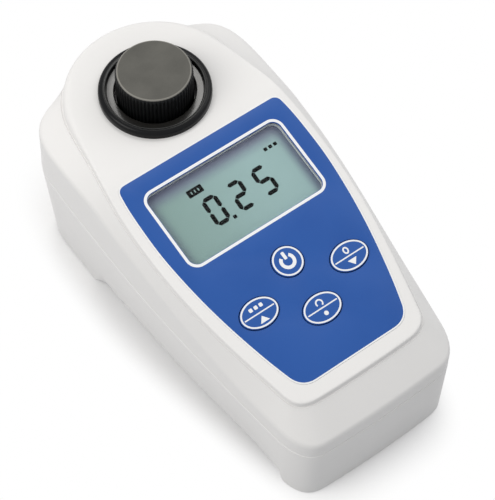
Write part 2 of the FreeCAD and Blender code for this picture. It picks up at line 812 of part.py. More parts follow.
def lamp():
    """Round lamp with a rim and a domed end, pointing at the vial."""
    back = -pod_reach
    body_end = back + lamp_rim_thickness + lamp_body_length
    rim = cross_rod(lamp_rim_radius, back, back + lamp_rim_thickness, well_y, light_height)
    body = cross_rod(lamp_radius, back, body_end, well_y, light_height)
    dome = Part.makeSphere(lamp_radius, Vector(body_end, well_y, light_height))
    return rim.fuse([body, dome]).removeSplitter()


def optical_filter():
    """Colour filter disc in front of the detector."""
    return cross_rod(filter_radius, filter_x, filter_x + filter_thickness, well_y, light_height)


def photodiode():
    """Detector can with a rim at its back and a window at its front."""
    front = filter_x + filter_thickness
    can = cross_rod(detector_radius, front, pod_reach, well_y, light_height)
    rim = cross_rod(filter_radius, pod_reach - lamp_rim_thickness, pod_reach, well_y, light_height)
    sink = cross_rod(detector_window_radius, front, front + detector_window_depth, well_y, light_height)
    return can.fuse(rim).cut(sink).removeSplitter()


def optics_board(side):
    """Small circuit board on the lamp's (-1) or the detector's (1) side of the block."""
    near = side * pod_reach
    far = side * (pod_reach + optics_board_thickness)
    half = optics_board_width / 2
    plate = box(min(near, far), max(near, far), well_y - half, well_y + half,
                light_height - optics_board_height / 2, light_height + optics_board_height / 2)
    holes = [cross_rod(block_screw_radius + screw_clearance, min(near, far), max(near, far),
                       well_y + s * optics_board_screw_offset, light_height) for s in (1, -1)]
    return plate.cut(holes)


def optics_screws():
    """Screws of the block's flange and of its two small boards."""
    screws = []
    head_top = flange_top - block_flange_thickness
    for x, y in block_screw_places:
        head = rod(block_screw_head_radius, head_top - block_screw_head_height, head_top, x, y)
        shank = rod(block_screw_radius, head_top, flange_top + block_screw_bite, x, y)
        screws.append(head.fuse(shank).removeSplitter())
    face = pod_reach + optics_board_thickness
    for side in (1, -1):
        for s in (1, -1):
            y = well_y + s * optics_board_screw_offset
            ends = sorted([side * (pod_reach - optics_board_screw_bite), side * face])
            crown = sorted([side * face, side * (face + block_screw_head_height)])
            shank = cross_rod(block_screw_radius, ends[0], ends[1], y, light_height)
            head = cross_rod(block_screw_head_radius, crown[0], crown[1], y, light_height)
            screws.append(head.fuse(shank).removeSplitter())
    return Part.makeCompound(screws)


# Vial and cap
def thread_ridge(root_radius, crest_radius, start_height):
    """Helical ridge from a root radius to a crest radius, about the well axis."""
    helix = Part.makeHelix(thread_pitch, thread_height, root_radius)
    sunk = root_radius + (root_radius - crest_radius) * thread_sink_share
    corners = [(sunk, -thread_root_height / 2), (crest_radius, -thread_crest_height / 2),
               (crest_radius, thread_crest_height / 2), (sunk, thread_root_height / 2)]
    profile = Part.makePolygon([Vector(r, 0, z) for r, z in corners + corners[:1]])
    ridge = Part.Wire(helix).makePipeShell([profile], True, True)
    ridge.translate(Vector(0, well_y, start_height))
    return ridge


def vial():
    """Glass vial with a threaded neck."""
    base = well_floor_height + vial_seat_gap
    bore = vial_radius - vial_wall
    mouth = neck_radius - neck_wall
    outside = [(0, base), (vial_radius, base), (vial_radius, vial_shoulder_height)]
    outside += [(neck_radius, neck_base_height), (neck_radius, neck_top_height)]
    inside = [(mouth, neck_top_height), (mouth, neck_base_height), (bore, vial_shoulder_height)]
    inside += [(bore, base + vial_base), (0, base + vial_base)]
    glass = turned(outside + inside, 0, well_y)
    return glass.fuse(thread_ridge(neck_radius, neck_radius + thread_depth, thread_start_height))


def vial_cap():
    """Screw cap with fine upright ribs, a bevelled top and a thread inside."""
    points = []
    for i in range(2 * cap_rib_count):
        radius = cap_radius - (i % 2) * cap_rib_depth
        angle = math.pi * i / cap_rib_count
        points.append(Vector(radius * math.cos(angle), well_y + radius * math.sin(angle), cap_bottom_height))
    ribbed = Part.Face(Part.makePolygon(points + points[:1])).extrude(Vector(0, 0, cap_height))
    envelope = turned([(0, cap_bottom_height), (cap_radius, cap_bottom_height),
                       (cap_radius, cap_top_height - cap_bevel_height),
                       (cap_radius - cap_bevel_width, cap_top_height), (0, cap_top_height)], 0, well_y)
    bore = rod(cap_bore_radius, cap_bottom_height, cap_inner_top, 0, well_y)
    body = ribbed.common(envelope).cut(bore)
    start = thread_start_height + thread_pitch / 2
    return body.fuse(thread_ridge(cap_bore_radius, cap_bore_radius - thread_depth, start))


def cap_liner():
    """Sealing disc inside the cap, on the rim of the vial."""
    return rod(cap_bore_radius - liner_clearance, neck_top_height + liner_clearance,
               cap_inner_top - liner_gap, 0, well_y)


# Batteries
def battery_door():
    """Door of the battery bay, with two tabs over the lip of the floor and a thumb hollow."""
    side = bay_half_width - door_clearance
    rear = bay_rear_y - door_clearance
    plate = box(-side, side, door_front_y, rear, foot_height, floor_top)
    tabs = []
    for x in (-door_tab_x, door_tab_x):
        half = door_tab_width / 2
        root = door_front_y + door_tab_reach
        tip = door_front_y - door_tab_reach
        tabs.append(box(x - half, x + half, door_front_y, root, floor_top, door_seat))
        tabs.append(box(x - half, x + half, tip, root, door_seat, door_seat + door_tab_thickness))
    hollow_radius = (door_grip_radius ** 2 + door_grip_depth ** 2) / (2 * door_grip_depth)
    hollow_z = foot_height + door_grip_depth - hollow_radius
    hollow = Part.makeSphere(hollow_radius, Vector(0, rear - 2 * door_grip_radius, hollow_z))
    return plate.fuse(tabs).removeSplitter().cut(hollow)


def batteries():
    """Small round cells side by side, turned alternately."""
    cells = []
    for i, y in enumerate(cell_rows):
        tip = bay_half_width - contact_thickness
        body = cross_rod(cell_radius, tip - cell_nub_length - cell_length, tip - cell_nub_length, y, cell_z)
        nub = cross_rod(cell_nub_radius, tip - cell_nub_length, tip, y, cell_z)
        cell = body.fuse(nub)
        if i % 2:
            cell.rotate(Vector(0, y, cell_z), Vector(0, 0, 1), 180)
        cells.append(cell)
    return Part.makeCompound(cells)


def battery_contacts():
    """Contact plates at both ends of the cells, two of them with a tail up through the bay's roof."""
    plates = []
    half_w = contact_width / 2
    half_h = contact_height / 2
    left = -bay_half_width
    right = bay_half_width - contact_thickness
    for x, first, last in ((left, 0, 1), (left, 2, 3), (right, 0, 0), (right, 1, 2), (right, 3, 3)):
        back = x + contact_thickness
        near = cell_rows[last] - half_w
        far = cell_rows[first] + half_w
        plate = box(x, back, near, far, cell_z - half_h, cell_z + half_h)
        if first == last:
            y = cell_rows[first]
            tail = box(x, back, y - contact_tail_width / 2, y + contact_tail_width / 2, cell_z, tail_top)
            plate = plate.fuse(tail).removeSplitter()
        plates.append(plate)
    return Part.makeCompound(plates)


def tangent_arc(first, corner, last):
    """Arc from one point to another that touches the lines to the corner between them."""
    back = (first - corner).normalize()
    ahead = (last - corner).normalize()
    half_turn = (math.pi - back.getAngle(ahead)) / 2
    radius = first.distanceToPoint(corner) / math.tan(half_turn)
    nearest = corner + (back + ahead).normalize() * (radius / math.cos(half_turn) - radius)
    return Part.Arc(first, nearest, last).toShape()


def coil_path(radius, pitch, turns):
    """Wire round the Z axis, two arcs to each quarter turn, with the way that it starts."""
    def place(angle):
        rise = pitch / (2 * math.pi)
        along = Vector(-radius * math.sin(angle), radius * math.cos(angle), rise)
        return Vector(radius * math.cos(angle), radius * math.sin(angle), rise * angle), along.normalize()
    edges = []
    stops = [place(i * math.pi / 2) for i in range(4 * turns + 1)]
    for (start, leave), (end, arrive) in zip(stops, stops[1:]):
        span = end - start
        pull = span.dot(leave + arrive)
        bend = 2 - 2 * leave.dot(arrive)
        reach = (math.sqrt(pull ** 2 + bend * span.dot(span)) - pull) / bend
        near = start + leave * reach
        far = end - arrive * reach
        middle = (near + far) / 2
        edges += [tangent_arc(start, near, middle), tangent_arc(middle, far, end)]
    return Part.Wire(edges), stops[0]


def battery_springs():
    """Coil springs between the contact plates and the flat ends of the cells."""
    room = 2 * (bay_half_width - contact_thickness) - cell_length - cell_nub_length
    end = spring_wire_radius + spring_end_gap
    pitch = (room - 2 * end) / spring_turns
    springs = []
    for i, y in enumerate(cell_rows):
        path, (start, way) = coil_path(spring_radius, pitch, spring_turns)
        ring = Part.Circle(start, way, spring_wire_radius).toShape()
        coil = path.makePipeShell([Part.Wire(ring)], True, False)
        coil.rotate(Vector(0, 0, 0), Vector(0, 1, 0), 90)
        coil.translate(Vector(contact_thickness + end - bay_half_width, y, cell_z))
        if i % 2:
            coil.rotate(Vector(0, y, cell_z), Vector(0, 0, 1), 180)
        springs.append(coil)
    return Part.makeCompound(springs)


# Leads
def lead(points):
    """Round wire along straight runs joined by arcs of the lead's bend."""
    edges = []
    here = points[0]
    for before, corner, after in zip(points, points[1:], points[2:]):
        back = before - corner
        ahead = after - corner
        shorter = min(back.Length, ahead.Length)
        half_turn = (math.pi - back.getAngle(ahead)) / 2
        setback = min(lead_bend * math.tan(half_turn), lead_bend_run_share * shorter)
        first = corner + back.normalize() * setback
        last = corner + ahead.normalize() * setback
        edges.append(Part.makeLine(here, first))
        edges.append(tangent_arc(first, corner, last))
        here = last
    edges.append(Part.makeLine(here, points[-1]))
    ring = Part.Circle(points[0], (points[1] - points[0]).normalize(), lead_radius).toShape()
    return Part.Wire(edges).makePipeShell([Part.Wire(ring)], True, False)


def socket_mouth(index, shift):
    """Point just under a socket, shifted sideways by part of its width."""
    x, v = socket_places[index]
    return panel_placement.multVec(Vector(x + shift, v, board_bottom - socket_height - lead_end_gap))


def battery_leads():
    """Two wires from the tails of the contacts to the front socket."""
    wires = []
    for (x, y), shift in zip(tail_places, (lead_pair_gap, -lead_pair_gap)):
        goal = socket_mouth(2, shift)
        start = Vector(x + contact_thickness / 2, y, tail_top + lead_end_gap)
        level = tail_top + lead_level_share * (goal.z - tail_top)
        knee = Vector(start.x, start.y, level)
        turn = Vector(goal.x, goal.y, level)
        wires.append(lead([start, knee, turn, goal]))
    return Part.makeCompound(wires)


def optics_leads(side):
    """Two wires from a small optics board to its socket on the main board."""
    wires = []
    index = 0 if side < 0 else 1
    for shift in (lead_pair_gap, -lead_pair_gap):
        goal = socket_mouth(index, side * shift)
        face = pod_reach + optics_board_thickness + lead_end_gap
        rise = optics_lead_rise_share * (goal.z - light_height)
        lane = case_width / 2 - case_wall - lead_from_side_wall
        start = Vector(side * face, well_y + shift, light_height + rise)
        knee = Vector(side * (lane + shift), start.y, start.z)
        turn = Vector(knee.x, goal.y, start.z)
        foot = Vector(goal.x, goal.y, start.z)
        wires.append(lead([start, knee, turn, foot, goal]))
    return Part.makeCompound(wires)


def save(node, shape):
    """Writes one node and prints what it holds."""
    shape.exportStep("parts/" + node + ".step")
    print(node, len(shape.Solids), round(shape.Volume, 2), shape.isValid())


def main():
    """Builds every node of the meter."""
    os.makedirs("parts", exist_ok=True)
    outer = rounded_rim(case_form(0, 0, 0))
    inner = case_form(case_wall, case_wall, floor_top)
    save("upper_case", upper_case(outer, inner))
    save("lower_case", lower_case(outer, inner))
    save("case_seal", case_seal())
    save("case_screws", case_screws())
    save("front_overlay", front_overlay())
    save("window_lens", window_lens())
    for name in key_places:
        save("key_" + name, key(name))
        save("switch_plunger_" + name, switch_plunger(name))
    save("key_switches", key_switches())
    save("lcd_panel", lcd_panel())
    save("lcd_frame", lcd_frame())
    save("contact_strips", contact_strips())
    save("main_board", main_board())
    save("board_screws", board_screws())
    save("controller_chip", controller_chip())
    save("lead_sockets", lead_sockets())
    save("well_collar", well_collar())
    save("collar_seal", collar_seal())
    save("optics_block", optics_block())
    save("lamp", lamp())
    save("lamp_board", optics_board(-1))
    save("optical_filter", optical_filter())
    save("photodiode", photodiode())
    save("detector_board", optics_board(1))
    save("optics_screws", optics_screws())
    save("vial", vial())
    save("vial_cap", vial_cap())
    save("cap_liner", cap_liner())
    save("battery_door", battery_door())
    save("batteries", batteries())
    save("battery_contacts", battery_contacts())
    save("battery_springs", battery_springs())
    save("battery_leads", battery_leads())
    save("lamp_leads", optics_leads(-1))
    save("detector_leads", optics_leads(1))


main()
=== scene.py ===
"""Looks of a hand-held chlorine meter, modelled over its packed construction.

Lengths are millimetres in the frame of the construction: x to the right, y to the rear and
z up. Meshes are written in metres. The sloping panel has a frame of its own, from the middle
of its rear crease: u to the right, v up the slope and w out of it.
"""

import logging
from dataclasses import dataclass
from enum import Enum
from typing import Callable, Sequence

import bmesh
import bpy
import numpy as np
from mathutils import Matrix, Vector
from mathutils.geometry import delaunay_2d_cdt


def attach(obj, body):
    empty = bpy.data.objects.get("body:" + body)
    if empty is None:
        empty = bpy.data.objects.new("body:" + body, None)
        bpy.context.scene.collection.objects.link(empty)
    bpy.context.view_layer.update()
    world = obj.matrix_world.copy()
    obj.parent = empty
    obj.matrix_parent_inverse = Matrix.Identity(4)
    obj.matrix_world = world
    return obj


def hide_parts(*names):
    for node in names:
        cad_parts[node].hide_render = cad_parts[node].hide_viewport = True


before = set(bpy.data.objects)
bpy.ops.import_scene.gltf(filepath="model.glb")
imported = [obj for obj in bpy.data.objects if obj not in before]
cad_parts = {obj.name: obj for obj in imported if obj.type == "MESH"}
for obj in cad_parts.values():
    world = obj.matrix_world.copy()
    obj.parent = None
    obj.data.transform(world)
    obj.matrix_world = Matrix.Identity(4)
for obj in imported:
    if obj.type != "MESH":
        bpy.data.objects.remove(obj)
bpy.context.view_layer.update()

LOG = logging.getLogger("chlorine_meter")
Array = np.ndarray
Piece = bpy.types.Object
Pair = tuple[float, float]
Pairs = tuple[Pair, ...]
Triple = tuple[float, float, float]
Colour = tuple[float, float, float, float]
MM = 0.001
WELD_MM = 0.002
NET_GAP_MM = 1e-5
EDGE_STEPS = 3


class Body(Enum):
    """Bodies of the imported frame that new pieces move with."""

    CASE = "case"
    VIAL = "vial"
    CAP = "vial_cap"
    DOOR = "battery_door"
    POWER = "key_power"
    ZERO = "key_zero"
    MODE = "key_mode"
    RECALL = "key_recall"


# Plane and space geometry


def unit(vectors: Array) -> Array:
    """Vectors scaled to length one along the last axis."""
    return vectors / np.linalg.norm(vectors, axis=-1, keepdims=True)


def lifted(plan: Array, height: Array | float) -> Array:
    """Plan points (x, y) set at a height, as points (x, y, z)."""
    return np.column_stack([plan, np.broadcast_to(height, len(plan))])


def inward(loop: Array) -> Array:
    """Unit normals of a closed plan loop that point into it.

    Args:
        loop: points of the loop, in either turning sense.

    Returns:
        The chord between each point's neighbours, turned by a right angle to the side where
        the loop's signed area lies.
    """
    after, before = np.roll(loop, -1, axis=0), np.roll(loop, 1, axis=0)
    along = unit(after - before)
    area = np.sum(loop[:, 0] * after[:, 1] - after[:, 0] * loop[:, 1])
    return np.sign(area) * np.column_stack([-along[:, 1], along[:, 0]])


def grown(loop: Array, by: Array | float) -> Array:
    """A plan loop moved outwards along its normals, by one length or one for each point."""
    return loop - inward(loop) * np.reshape(by, (-1, 1))


def softened(loop: Array, passes: int) -> Array:
    """A closed loop averaged with its neighbours, by weights 1, 2 and 1, several times."""
    for _ in range(passes):
        loop = (np.roll(loop, 1, axis=0) + 2 * loop + np.roll(loop, -1, axis=0)) / 4
    return loop


def rounding(start: Array, corner: Array, end: Array, steps: int) -> Array:
    """Rows that round a corner by the quadratic curve with the corner as its control point.

    Args:
        start: row of points where the rounding begins.
        corner: row of sharp corner points.
        end: row of points where it ends.
        steps: strips between the first and last row.

    Returns:
        Grid of steps + 1 rows, (1 - t)^2 start + 2 t (1 - t) corner + t^2 end.
    """
    t = np.linspace(0, 1, steps + 1)[:, None, None]
    return (1 - t) ** 2 * start + 2 * t * (1 - t) * corner + t**2 * end


def spline_runs(
    points: Array, first: Array, last: Array, ends: Sequence[int], counts: Sequence[int]
) -> Array:
    """Samples of the smooth cubic through points, spaced evenly within each run.

    The parameter is the length along the chords. The slopes at the points solve the system for
    continuous curvature, and each stretch is the Hermite cubic of its ends and slopes.

    Args:
        points: points that the curve passes.
        first: unit slope at the first point.
        last: unit slope at the last point.
        ends: index of the point at which each run ends.
        counts: samples in each run.

    Returns:
        The samples, from the first point to the last.
    """
    gaps = np.linalg.norm(np.diff(points, axis=0), axis=1)
    rises = np.diff(points, axis=0) / gaps[:, None]
    size = len(points)
    system = np.zeros((size, size))
    inner = np.arange(1, size - 1)
    system[0, 0] = system[-1, -1] = 1
    system[inner, inner - 1] = gaps[1:]
    system[inner, inner] = 2 * (gaps[1:] + gaps[:-1])
    system[inner, inner + 1] = gaps[:-1]
    middle = 3 * (gaps[1:, None] * rises[:-1] + gaps[:-1, None] * rises[1:])
    slopes = np.linalg.solve(system, np.vstack([first, middle, last]))
    knots = np.concatenate([[0], np.cumsum(gaps)])
    starts = np.concatenate([[0], knots[list(ends[:-1])]])
    runs = [
        np.linspace(a, b, n, endpoint=False)
        for a, b, n in zip(starts, knots[list(ends)], counts)
    ]
    at = np.concatenate([*runs, knots[-1:]])
    k = np.clip(np.searchsorted(knots, at, side="right") - 1, 0, size - 2)
    h = gaps[k][:, None]
    t = (at - knots[k])[:, None] / h
    return (
        (2 * t**3 - 3 * t**2 + 1) * points[k]
        + (t**3 - 2 * t**2 + t) * h * slopes[k]
        + (3 * t**2 - 2 * t**3) * points[k + 1]
        + (t**3 - t**2) * h * slopes[k + 1]
    )


def ellipse(half_width: float, half_depth: float, centre: Sequence[float], count: int) -> Array:
    """Plan loop (a cos t, b sin t) about a centre.

    Args:
        half_width: half size along x.
        half_depth: half size along y.
        centre: middle of the loop.
        count: points round it.

    Returns:
        The loop, counter-clockwise from the right.
    """
    t = np.arange(count) * 2 * np.pi / count
    rays = np.column_stack([half_width * np.cos(t), half_depth * np.sin(t)])
    return rays + np.asarray(centre)


def rounded_rectangle(
    width: float, depth: float, radius: float, centre: Sequence[float], per_corner: int = 12
) -> Array:
    """Plan loop of four quarter circles, whose ends the straight sides join.

    Args:
        width: size along x.
        depth: size along y.
        radius: radius of the corners.
        centre: middle of the rectangle.
        per_corner: points on each corner.

    Returns:
        The loop, counter-clockwise from the right side.
    """
    quarter = np.linspace(0, np.pi / 2, per_corner)
    turns = np.concatenate([quarter + k * np.pi / 2 for k in range(4)])
    signs = np.repeat([[1, 1], [-1, 1], [-1, -1], [1, -1]], per_corner, axis=0)
    corners = signs * (np.array([width, depth]) / 2 - radius)
    arcs = radius * np.column_stack([np.cos(turns), np.sin(turns)])
    return corners + arcs + np.asarray(centre)


def within(spots: Array, loop: Array) -> Array:
    """Which spots lie inside a closed loop, by the parity of edges crossed towards +x.

    Args:
        spots: plan points.
        loop: the closed loop.

    Returns:
        A truth value for each spot.
    """
    x, y = spots[:, :1], spots[:, 1:]
    x0, y0 = loop.T
    x1, y1 = np.roll(loop, -1, axis=0).T
    spans = (y0 > y) != (y1 > y)
    rise = np.where(y1 == y0, 1.0, y1 - y0)
    crossing = x0 + (y - y0) * (x1 - x0) / rise
    return np.sum(spans & (x < crossing), axis=1) % 2 == 1


def smooth_step(value: Array, low: float, high: float) -> Array:
    """Ease from 0 at low to 1 at high, by 3 t^2 - 2 t^3."""
    t = np.clip((value - low) / (high - low), 0, 1)
    return t * t * (3 - 2 * t)


def swell_between(value: Array, rise: Pair, fall: Pair) -> Array:
    """Ease from 0 to 1 over the first span, and back to 0 over the second."""
    return smooth_step(value, *rise) * (1 - smooth_step(value, *fall))


def about_axis(centre: Sequence[float], radius: Array, angle: Array, height: Array) -> Array:
    """Points (x0 + r cos t, y0 + r sin t, z) of arrays that match or spread to one shape."""
    x, y = centre[0] + radius * np.cos(angle), centre[1] + radius * np.sin(angle)
    return np.stack(np.broadcast_arrays(x, y, height), axis=-1)


class Shell:
    """Patches of one closed piece in millimetres, welded into one mesh."""

    def __init__(self) -> None:
        """Start with no patches."""
        self.points: list[Array] = []
        self.faces: list[list[int]] = []
        self.count = 0

    def _add(self, points: Array, cells: Array) -> None:
        """Append points, and cells that index them.

        Args:
            points: points of a patch.
            cells: its faces, as indices of the points.
        """
        self.points.append(points)
        self.faces.extend((cells + self.count).tolist())
        self.count += len(points)

    def grid(self, rows: Sequence[Array] | Array, ring: bool = True) -> None:
        """Quads between neighbouring rows of points.

        Args:
            rows: rows of equal length.
            ring: whether each row's end joins its start.
        """
        table = np.asarray(rows, dtype=float)
        high, wide = table.shape[:2]
        across = np.arange(wide if ring else wide - 1)
        after = (across + 1) % wide
        up = np.arange(high - 1)[:, None] * wide
        quads = np.stack(
            [up + across, up + after, up + wide + after, up + wide + across], axis=-1
        )
        self._add(table.reshape(-1, 3), quads.reshape(-1, 4))

    def region(
        self,
        loops: Sequence[Array],
        lift: Callable[[Array], Array],
        ties: Array | None = None,
        net: Array | None = None,
    ) -> None:
        """Triangles that fill a plan loop round its holes, by a constrained Delaunay net.

        Args:
            loops: the outer loop, then the holes.
            lift: places plan points in space.
            ties: pairs of outer points to be joined by an edge of the net.
            net: further plan points inside the loops.
        """
        sizes = [len(loop) for loop in loops]
        starts = np.concatenate([[0], np.cumsum(sizes)[:-1]])
        rings = [
            np.column_stack([s + np.arange(n), s + (np.arange(n) + 1) % n])
            for s, n in zip(starts, sizes)
        ]
        edges = np.concatenate(rings if ties is None else [*rings, ties])
        plan = np.concatenate(loops if net is None else [*loops, net])
        flat = [Vector(spot) for spot in plan.tolist()]
        spots, _, cells, *_ = delaunay_2d_cdt(flat, edges.tolist(), [], 0, NET_GAP_MM)
        spots, cells = np.array([tuple(s) for s in spots]), np.array(cells)
        middles = spots[cells].mean(axis=1)
        kept = within(middles, loops[0])
        for hole in loops[1:]:
            kept &= ~within(middles, hole)
        self._add(lift(spots), cells[kept])

    def level(self, loops: Sequence[Array], height: float) -> None:
        """A level region at a height."""
        self.region(loops, lambda spots: lifted(spots, height))

    def upright(self, loop: Array, *heights: float) -> None:
        """An upright wall on a plan loop, through heights."""
        self.grid([lifted(loop, height) for height in heights])

    def piece(self, name: str, sharp_deg: float = 32.0) -> Piece:
        """The welded mesh as an object at the origin, with its faces turned outwards.

        Args:
            name: name of the piece.
            sharp_deg: angle between faces past which an edge stays sharp.

        Returns:
            The new object.
        """
        mesh = bpy.data.meshes.new(name)
        mesh.from_pydata((np.concatenate(self.points) * MM).tolist(), [], self.faces)
        work = bmesh.new()
        work.from_mesh(mesh)
        bmesh.ops.remove_doubles(work, verts=work.verts, dist=WELD_MM * MM)
        bmesh.ops.recalc_face_normals(work, faces=work.faces)
        work.to_mesh(mesh)
        work.free()
        mesh.polygons.foreach_set("use_smooth", np.ones(len(mesh.polygons), dtype=bool))
        mesh.set_sharp_from_angle(angle=np.radians(sharp_deg))
        made = bpy.data.objects.new(name, mesh)
        bpy.context.scene.collection.objects.link(made)
        return made


def turned(profile: Sequence[Sequence[float]], centre: Sequence[float], count: int) -> Array:
    """Rows of a turned form: each (radius, height) of the profile carried round the z axis.

    Args:
        profile: radius and height of each row.
        centre: plan place of the axis.
        count: points round each row.

    Returns:
        Grid of the rows, from the profile's first point.
    """
    radius, height = np.asarray(profile, dtype=float).T[:, :, None]
    return about_axis(centre, radius, np.arange(count) * 2 * np.pi / count, height)


def eased_profile(corners: Sequence[Sequence[float]], steps: int) -> Array:
    """A profile of (radius, height, rounding) corners with each corner rounded.

    Args:
        corners: points, with the length cut from both sides of each, or 0 for a sharp one.
        steps: strips on each rounding.

    Returns:
        Points of the eased profile, as (radius, height).
    """
    table = np.asarray(corners, dtype=float)
    spots, cuts = table[:, :2], table[:, 2]
    parts = []
    for k, cut in enumerate(cuts):
        if cut == 0:
            parts.append(spots[k : k + 1])
            continue
        back = spots[k] + cut * unit(spots[k - 1] - spots[k])
        on = spots[k] + cut * unit(spots[(k + 1) % len(spots)] - spots[k])
        parts.append(rounding(back[None], spots[k : k + 1], on[None], steps)[:, 0])
    return np.concatenate(parts)


# Shader nodes and finishes


def tint(red: int, green: int, blue: int) -> Colour:
    """A display colour of 0 to 255 as the linear colour of shaders, by the sRGB curve.

    Args:
        red: level of red.
        green: level of green.
        blue: level of blue.

    Returns:
        Linear red, green and blue, and an alpha of 1.
    """
    shown = np.array([red, green, blue]) / 255
    line = np.where(shown <= 0.04045, shown / 12.92, ((shown + 0.055) / 1.055) ** 2.4)
    return (*line.tolist(), 1.0)


def dimmed(colour: Colour, share: float) -> Colour:
    """A colour at a share of its light."""
    return (*(part * share for part in colour[:3]), 1.0)


class Sock:
    """Output of a shader node that takes part in Python arithmetic."""

    def __init__(self, paint: "Paint", socket: bpy.types.NodeSocket) -> None:
        """Wrap a node's output socket."""
        self.paint, self.socket = paint, socket

    def _math(self, operation: str, *values: "Sock | float") -> "Sock":
        """A Math node over values."""
        inputs = dict(enumerate(values))
        return self.paint.node("ShaderNodeMath", {"operation": operation}, inputs)

    def __add__(self, other: "Sock | float") -> "Sock":
        """Sum."""
        return self._math("ADD", self, other)

    __radd__ = __add__

    def __sub__(self, other: "Sock | float") -> "Sock":
        """Difference."""
        return self._math("SUBTRACT", self, other)

    def __rsub__(self, other: "Sock | float") -> "Sock":
        """Difference from a value on the left."""
        return self._math("SUBTRACT", other, self)

    def __mul__(self, other: "Sock | float") -> "Sock":
        """Product."""
        return self._math("MULTIPLY", self, other)

    __rmul__ = __mul__

    def __truediv__(self, other: "Sock | float") -> "Sock":
        """Quotient."""
        return self._math("DIVIDE", self, other)

    def __pow__(self, other: float) -> "Sock":
        """Power."""
        return self._math("POWER", self, other)

    def root(self) -> "Sock":
        """Square root."""
        return self._math("SQRT", self)

    def size(self) -> "Sock":
        """Absolute value."""
        return self._math("ABSOLUTE", self)

    def wave(self) -> "Sock":
        """Sine."""
        return self._math("SINE", self)

    def least(self, other: "Sock | float") -> "Sock":
        """The smaller of two values."""
        return self._math("MINIMUM", self, other)

    def swing(self, width: float) -> "Sock":
        """A value of 0 to 1 spread evenly about zero, over a width."""
        return (self - 0.5) * width

    def eased(self, low: float, high: float) -> "Sock":
        """Smooth ease from 0 at low to 1 at high."""
        settings = {"interpolation_type": "SMOOTHSTEP"}
        return self.paint.node("ShaderNodeMapRange", settings, {0: self, 1: low, 2: high})


class Paint:
    """Node tree of one material or world under construction."""

    def __init__(self, tree: bpy.types.NodeTree) -> None:
        """Start from an empty tree."""
        self.tree = tree
        tree.nodes.clear()

    def node(
        self,
        kind: str,
        settings: dict[str, object] | None = None,
        inputs: dict[str | int, object] | None = None,
        output: int | str = 0,
    ) -> Sock:
        """Add a node, set it up and connect it.

        Args:
            kind: the node's type.
            settings: its properties, which are set first.
            inputs: a value or a link for each named or numbered socket.
            output: which of its outputs is returned.

        Returns:
            The chosen output.
        """
        made = self.tree.nodes.new(kind)
        for key, value in (settings or {}).items():
            setattr(made, key, value)
        for key, value in (inputs or {}).items():
            if isinstance(value, Sock):
                self.tree.links.new(value.socket, made.inputs[key])
            else:
                made.inputs[key].default_value = value
        return Sock(self, made.outputs[output] if len(made.outputs) else None)

    def place(self) -> Sock:
        """Object coordinates."""
        return self.node("ShaderNodeTexCoord", output="Object")

    def axes(self) -> tuple[Sock, Sock, Sock]:
        """The three object coordinates, in metres."""
        first = self.node("ShaderNodeSeparateXYZ", inputs={0: self.place()})
        return tuple(Sock(self, out) for out in first.socket.node.outputs)

    def radius(self, centre_y_mm: float) -> Sock:
        """Distance in metres from the upright axis at x = 0 and a given y.

        Args:
            centre_y_mm: y of the axis.

        Returns:
            The distance.
        """
        x, y, _ = self.axes()
        across = y - centre_y_mm * MM
        return (x * x + across * across).root()

    def noise(
        self, size_mm: float, detail: float = 3.0, stretch: Sequence[float] = (1, 1, 1)
    ) -> Sock:
        """Noise whose blobs are about a size across, from 0 to 1.

        Args:
            size_mm: size of a blob.
            detail: octaves of finer noise.
            stretch: factors on the three axes.

        Returns:
            The noise's value.
        """
        stretched = {"Vector": self.place(), "Scale": stretch}
        where = self.node("ShaderNodeMapping", inputs=stretched)
        inputs = {"Vector": where, "Scale": 1 / (size_mm * MM), "Detail": detail}
        return self.node("ShaderNodeTexNoise", inputs=inputs)

    def mix(self, share: Sock | float, first: object, second: object) -> Sock:
        """Mix of two colours or links, by the share of the second."""
        sockets = {0: share, 6: first, 7: second}
        return self.node("ShaderNodeMix", {"data_type": "RGBA"}, sockets, 2)

    def bump(self, height: Sock, depth_mm: float, strength: float = 1.0) -> Sock:
        """Normal of a relief whose full height is a depth."""
        inputs = {"Height": height, "Distance": depth_mm * MM, "Strength": strength}
        return self.node("ShaderNodeBump", inputs=inputs)

    def surface(self, shader: Sock) -> None:
        """Connect a shader to the material's output."""
        self.node("ShaderNodeOutputMaterial", inputs={"Surface": shader})

    def principled(self, inputs: dict[str, object]) -> None:
        """Connect a Principled shader with these inputs to the material's output."""
        self.surface(self.node("ShaderNodeBsdfPrincipled", inputs=inputs))


class Finish:
    """A finish that makes its material once."""

    name: str

    def material(self) -> bpy.types.Material:
        """The finish's material, made on first use.

        Returns:
            The material.
        """
        known = bpy.data.materials.get(self.name)
        if known:
            return known
        made = bpy.data.materials.new(self.name)
        made.use_nodes = True
        self.paint(Paint(made.node_tree))
        return made

    def paint(self, paint: Paint) -> None:
        """Add the finish's nodes."""
        raise NotImplementedError


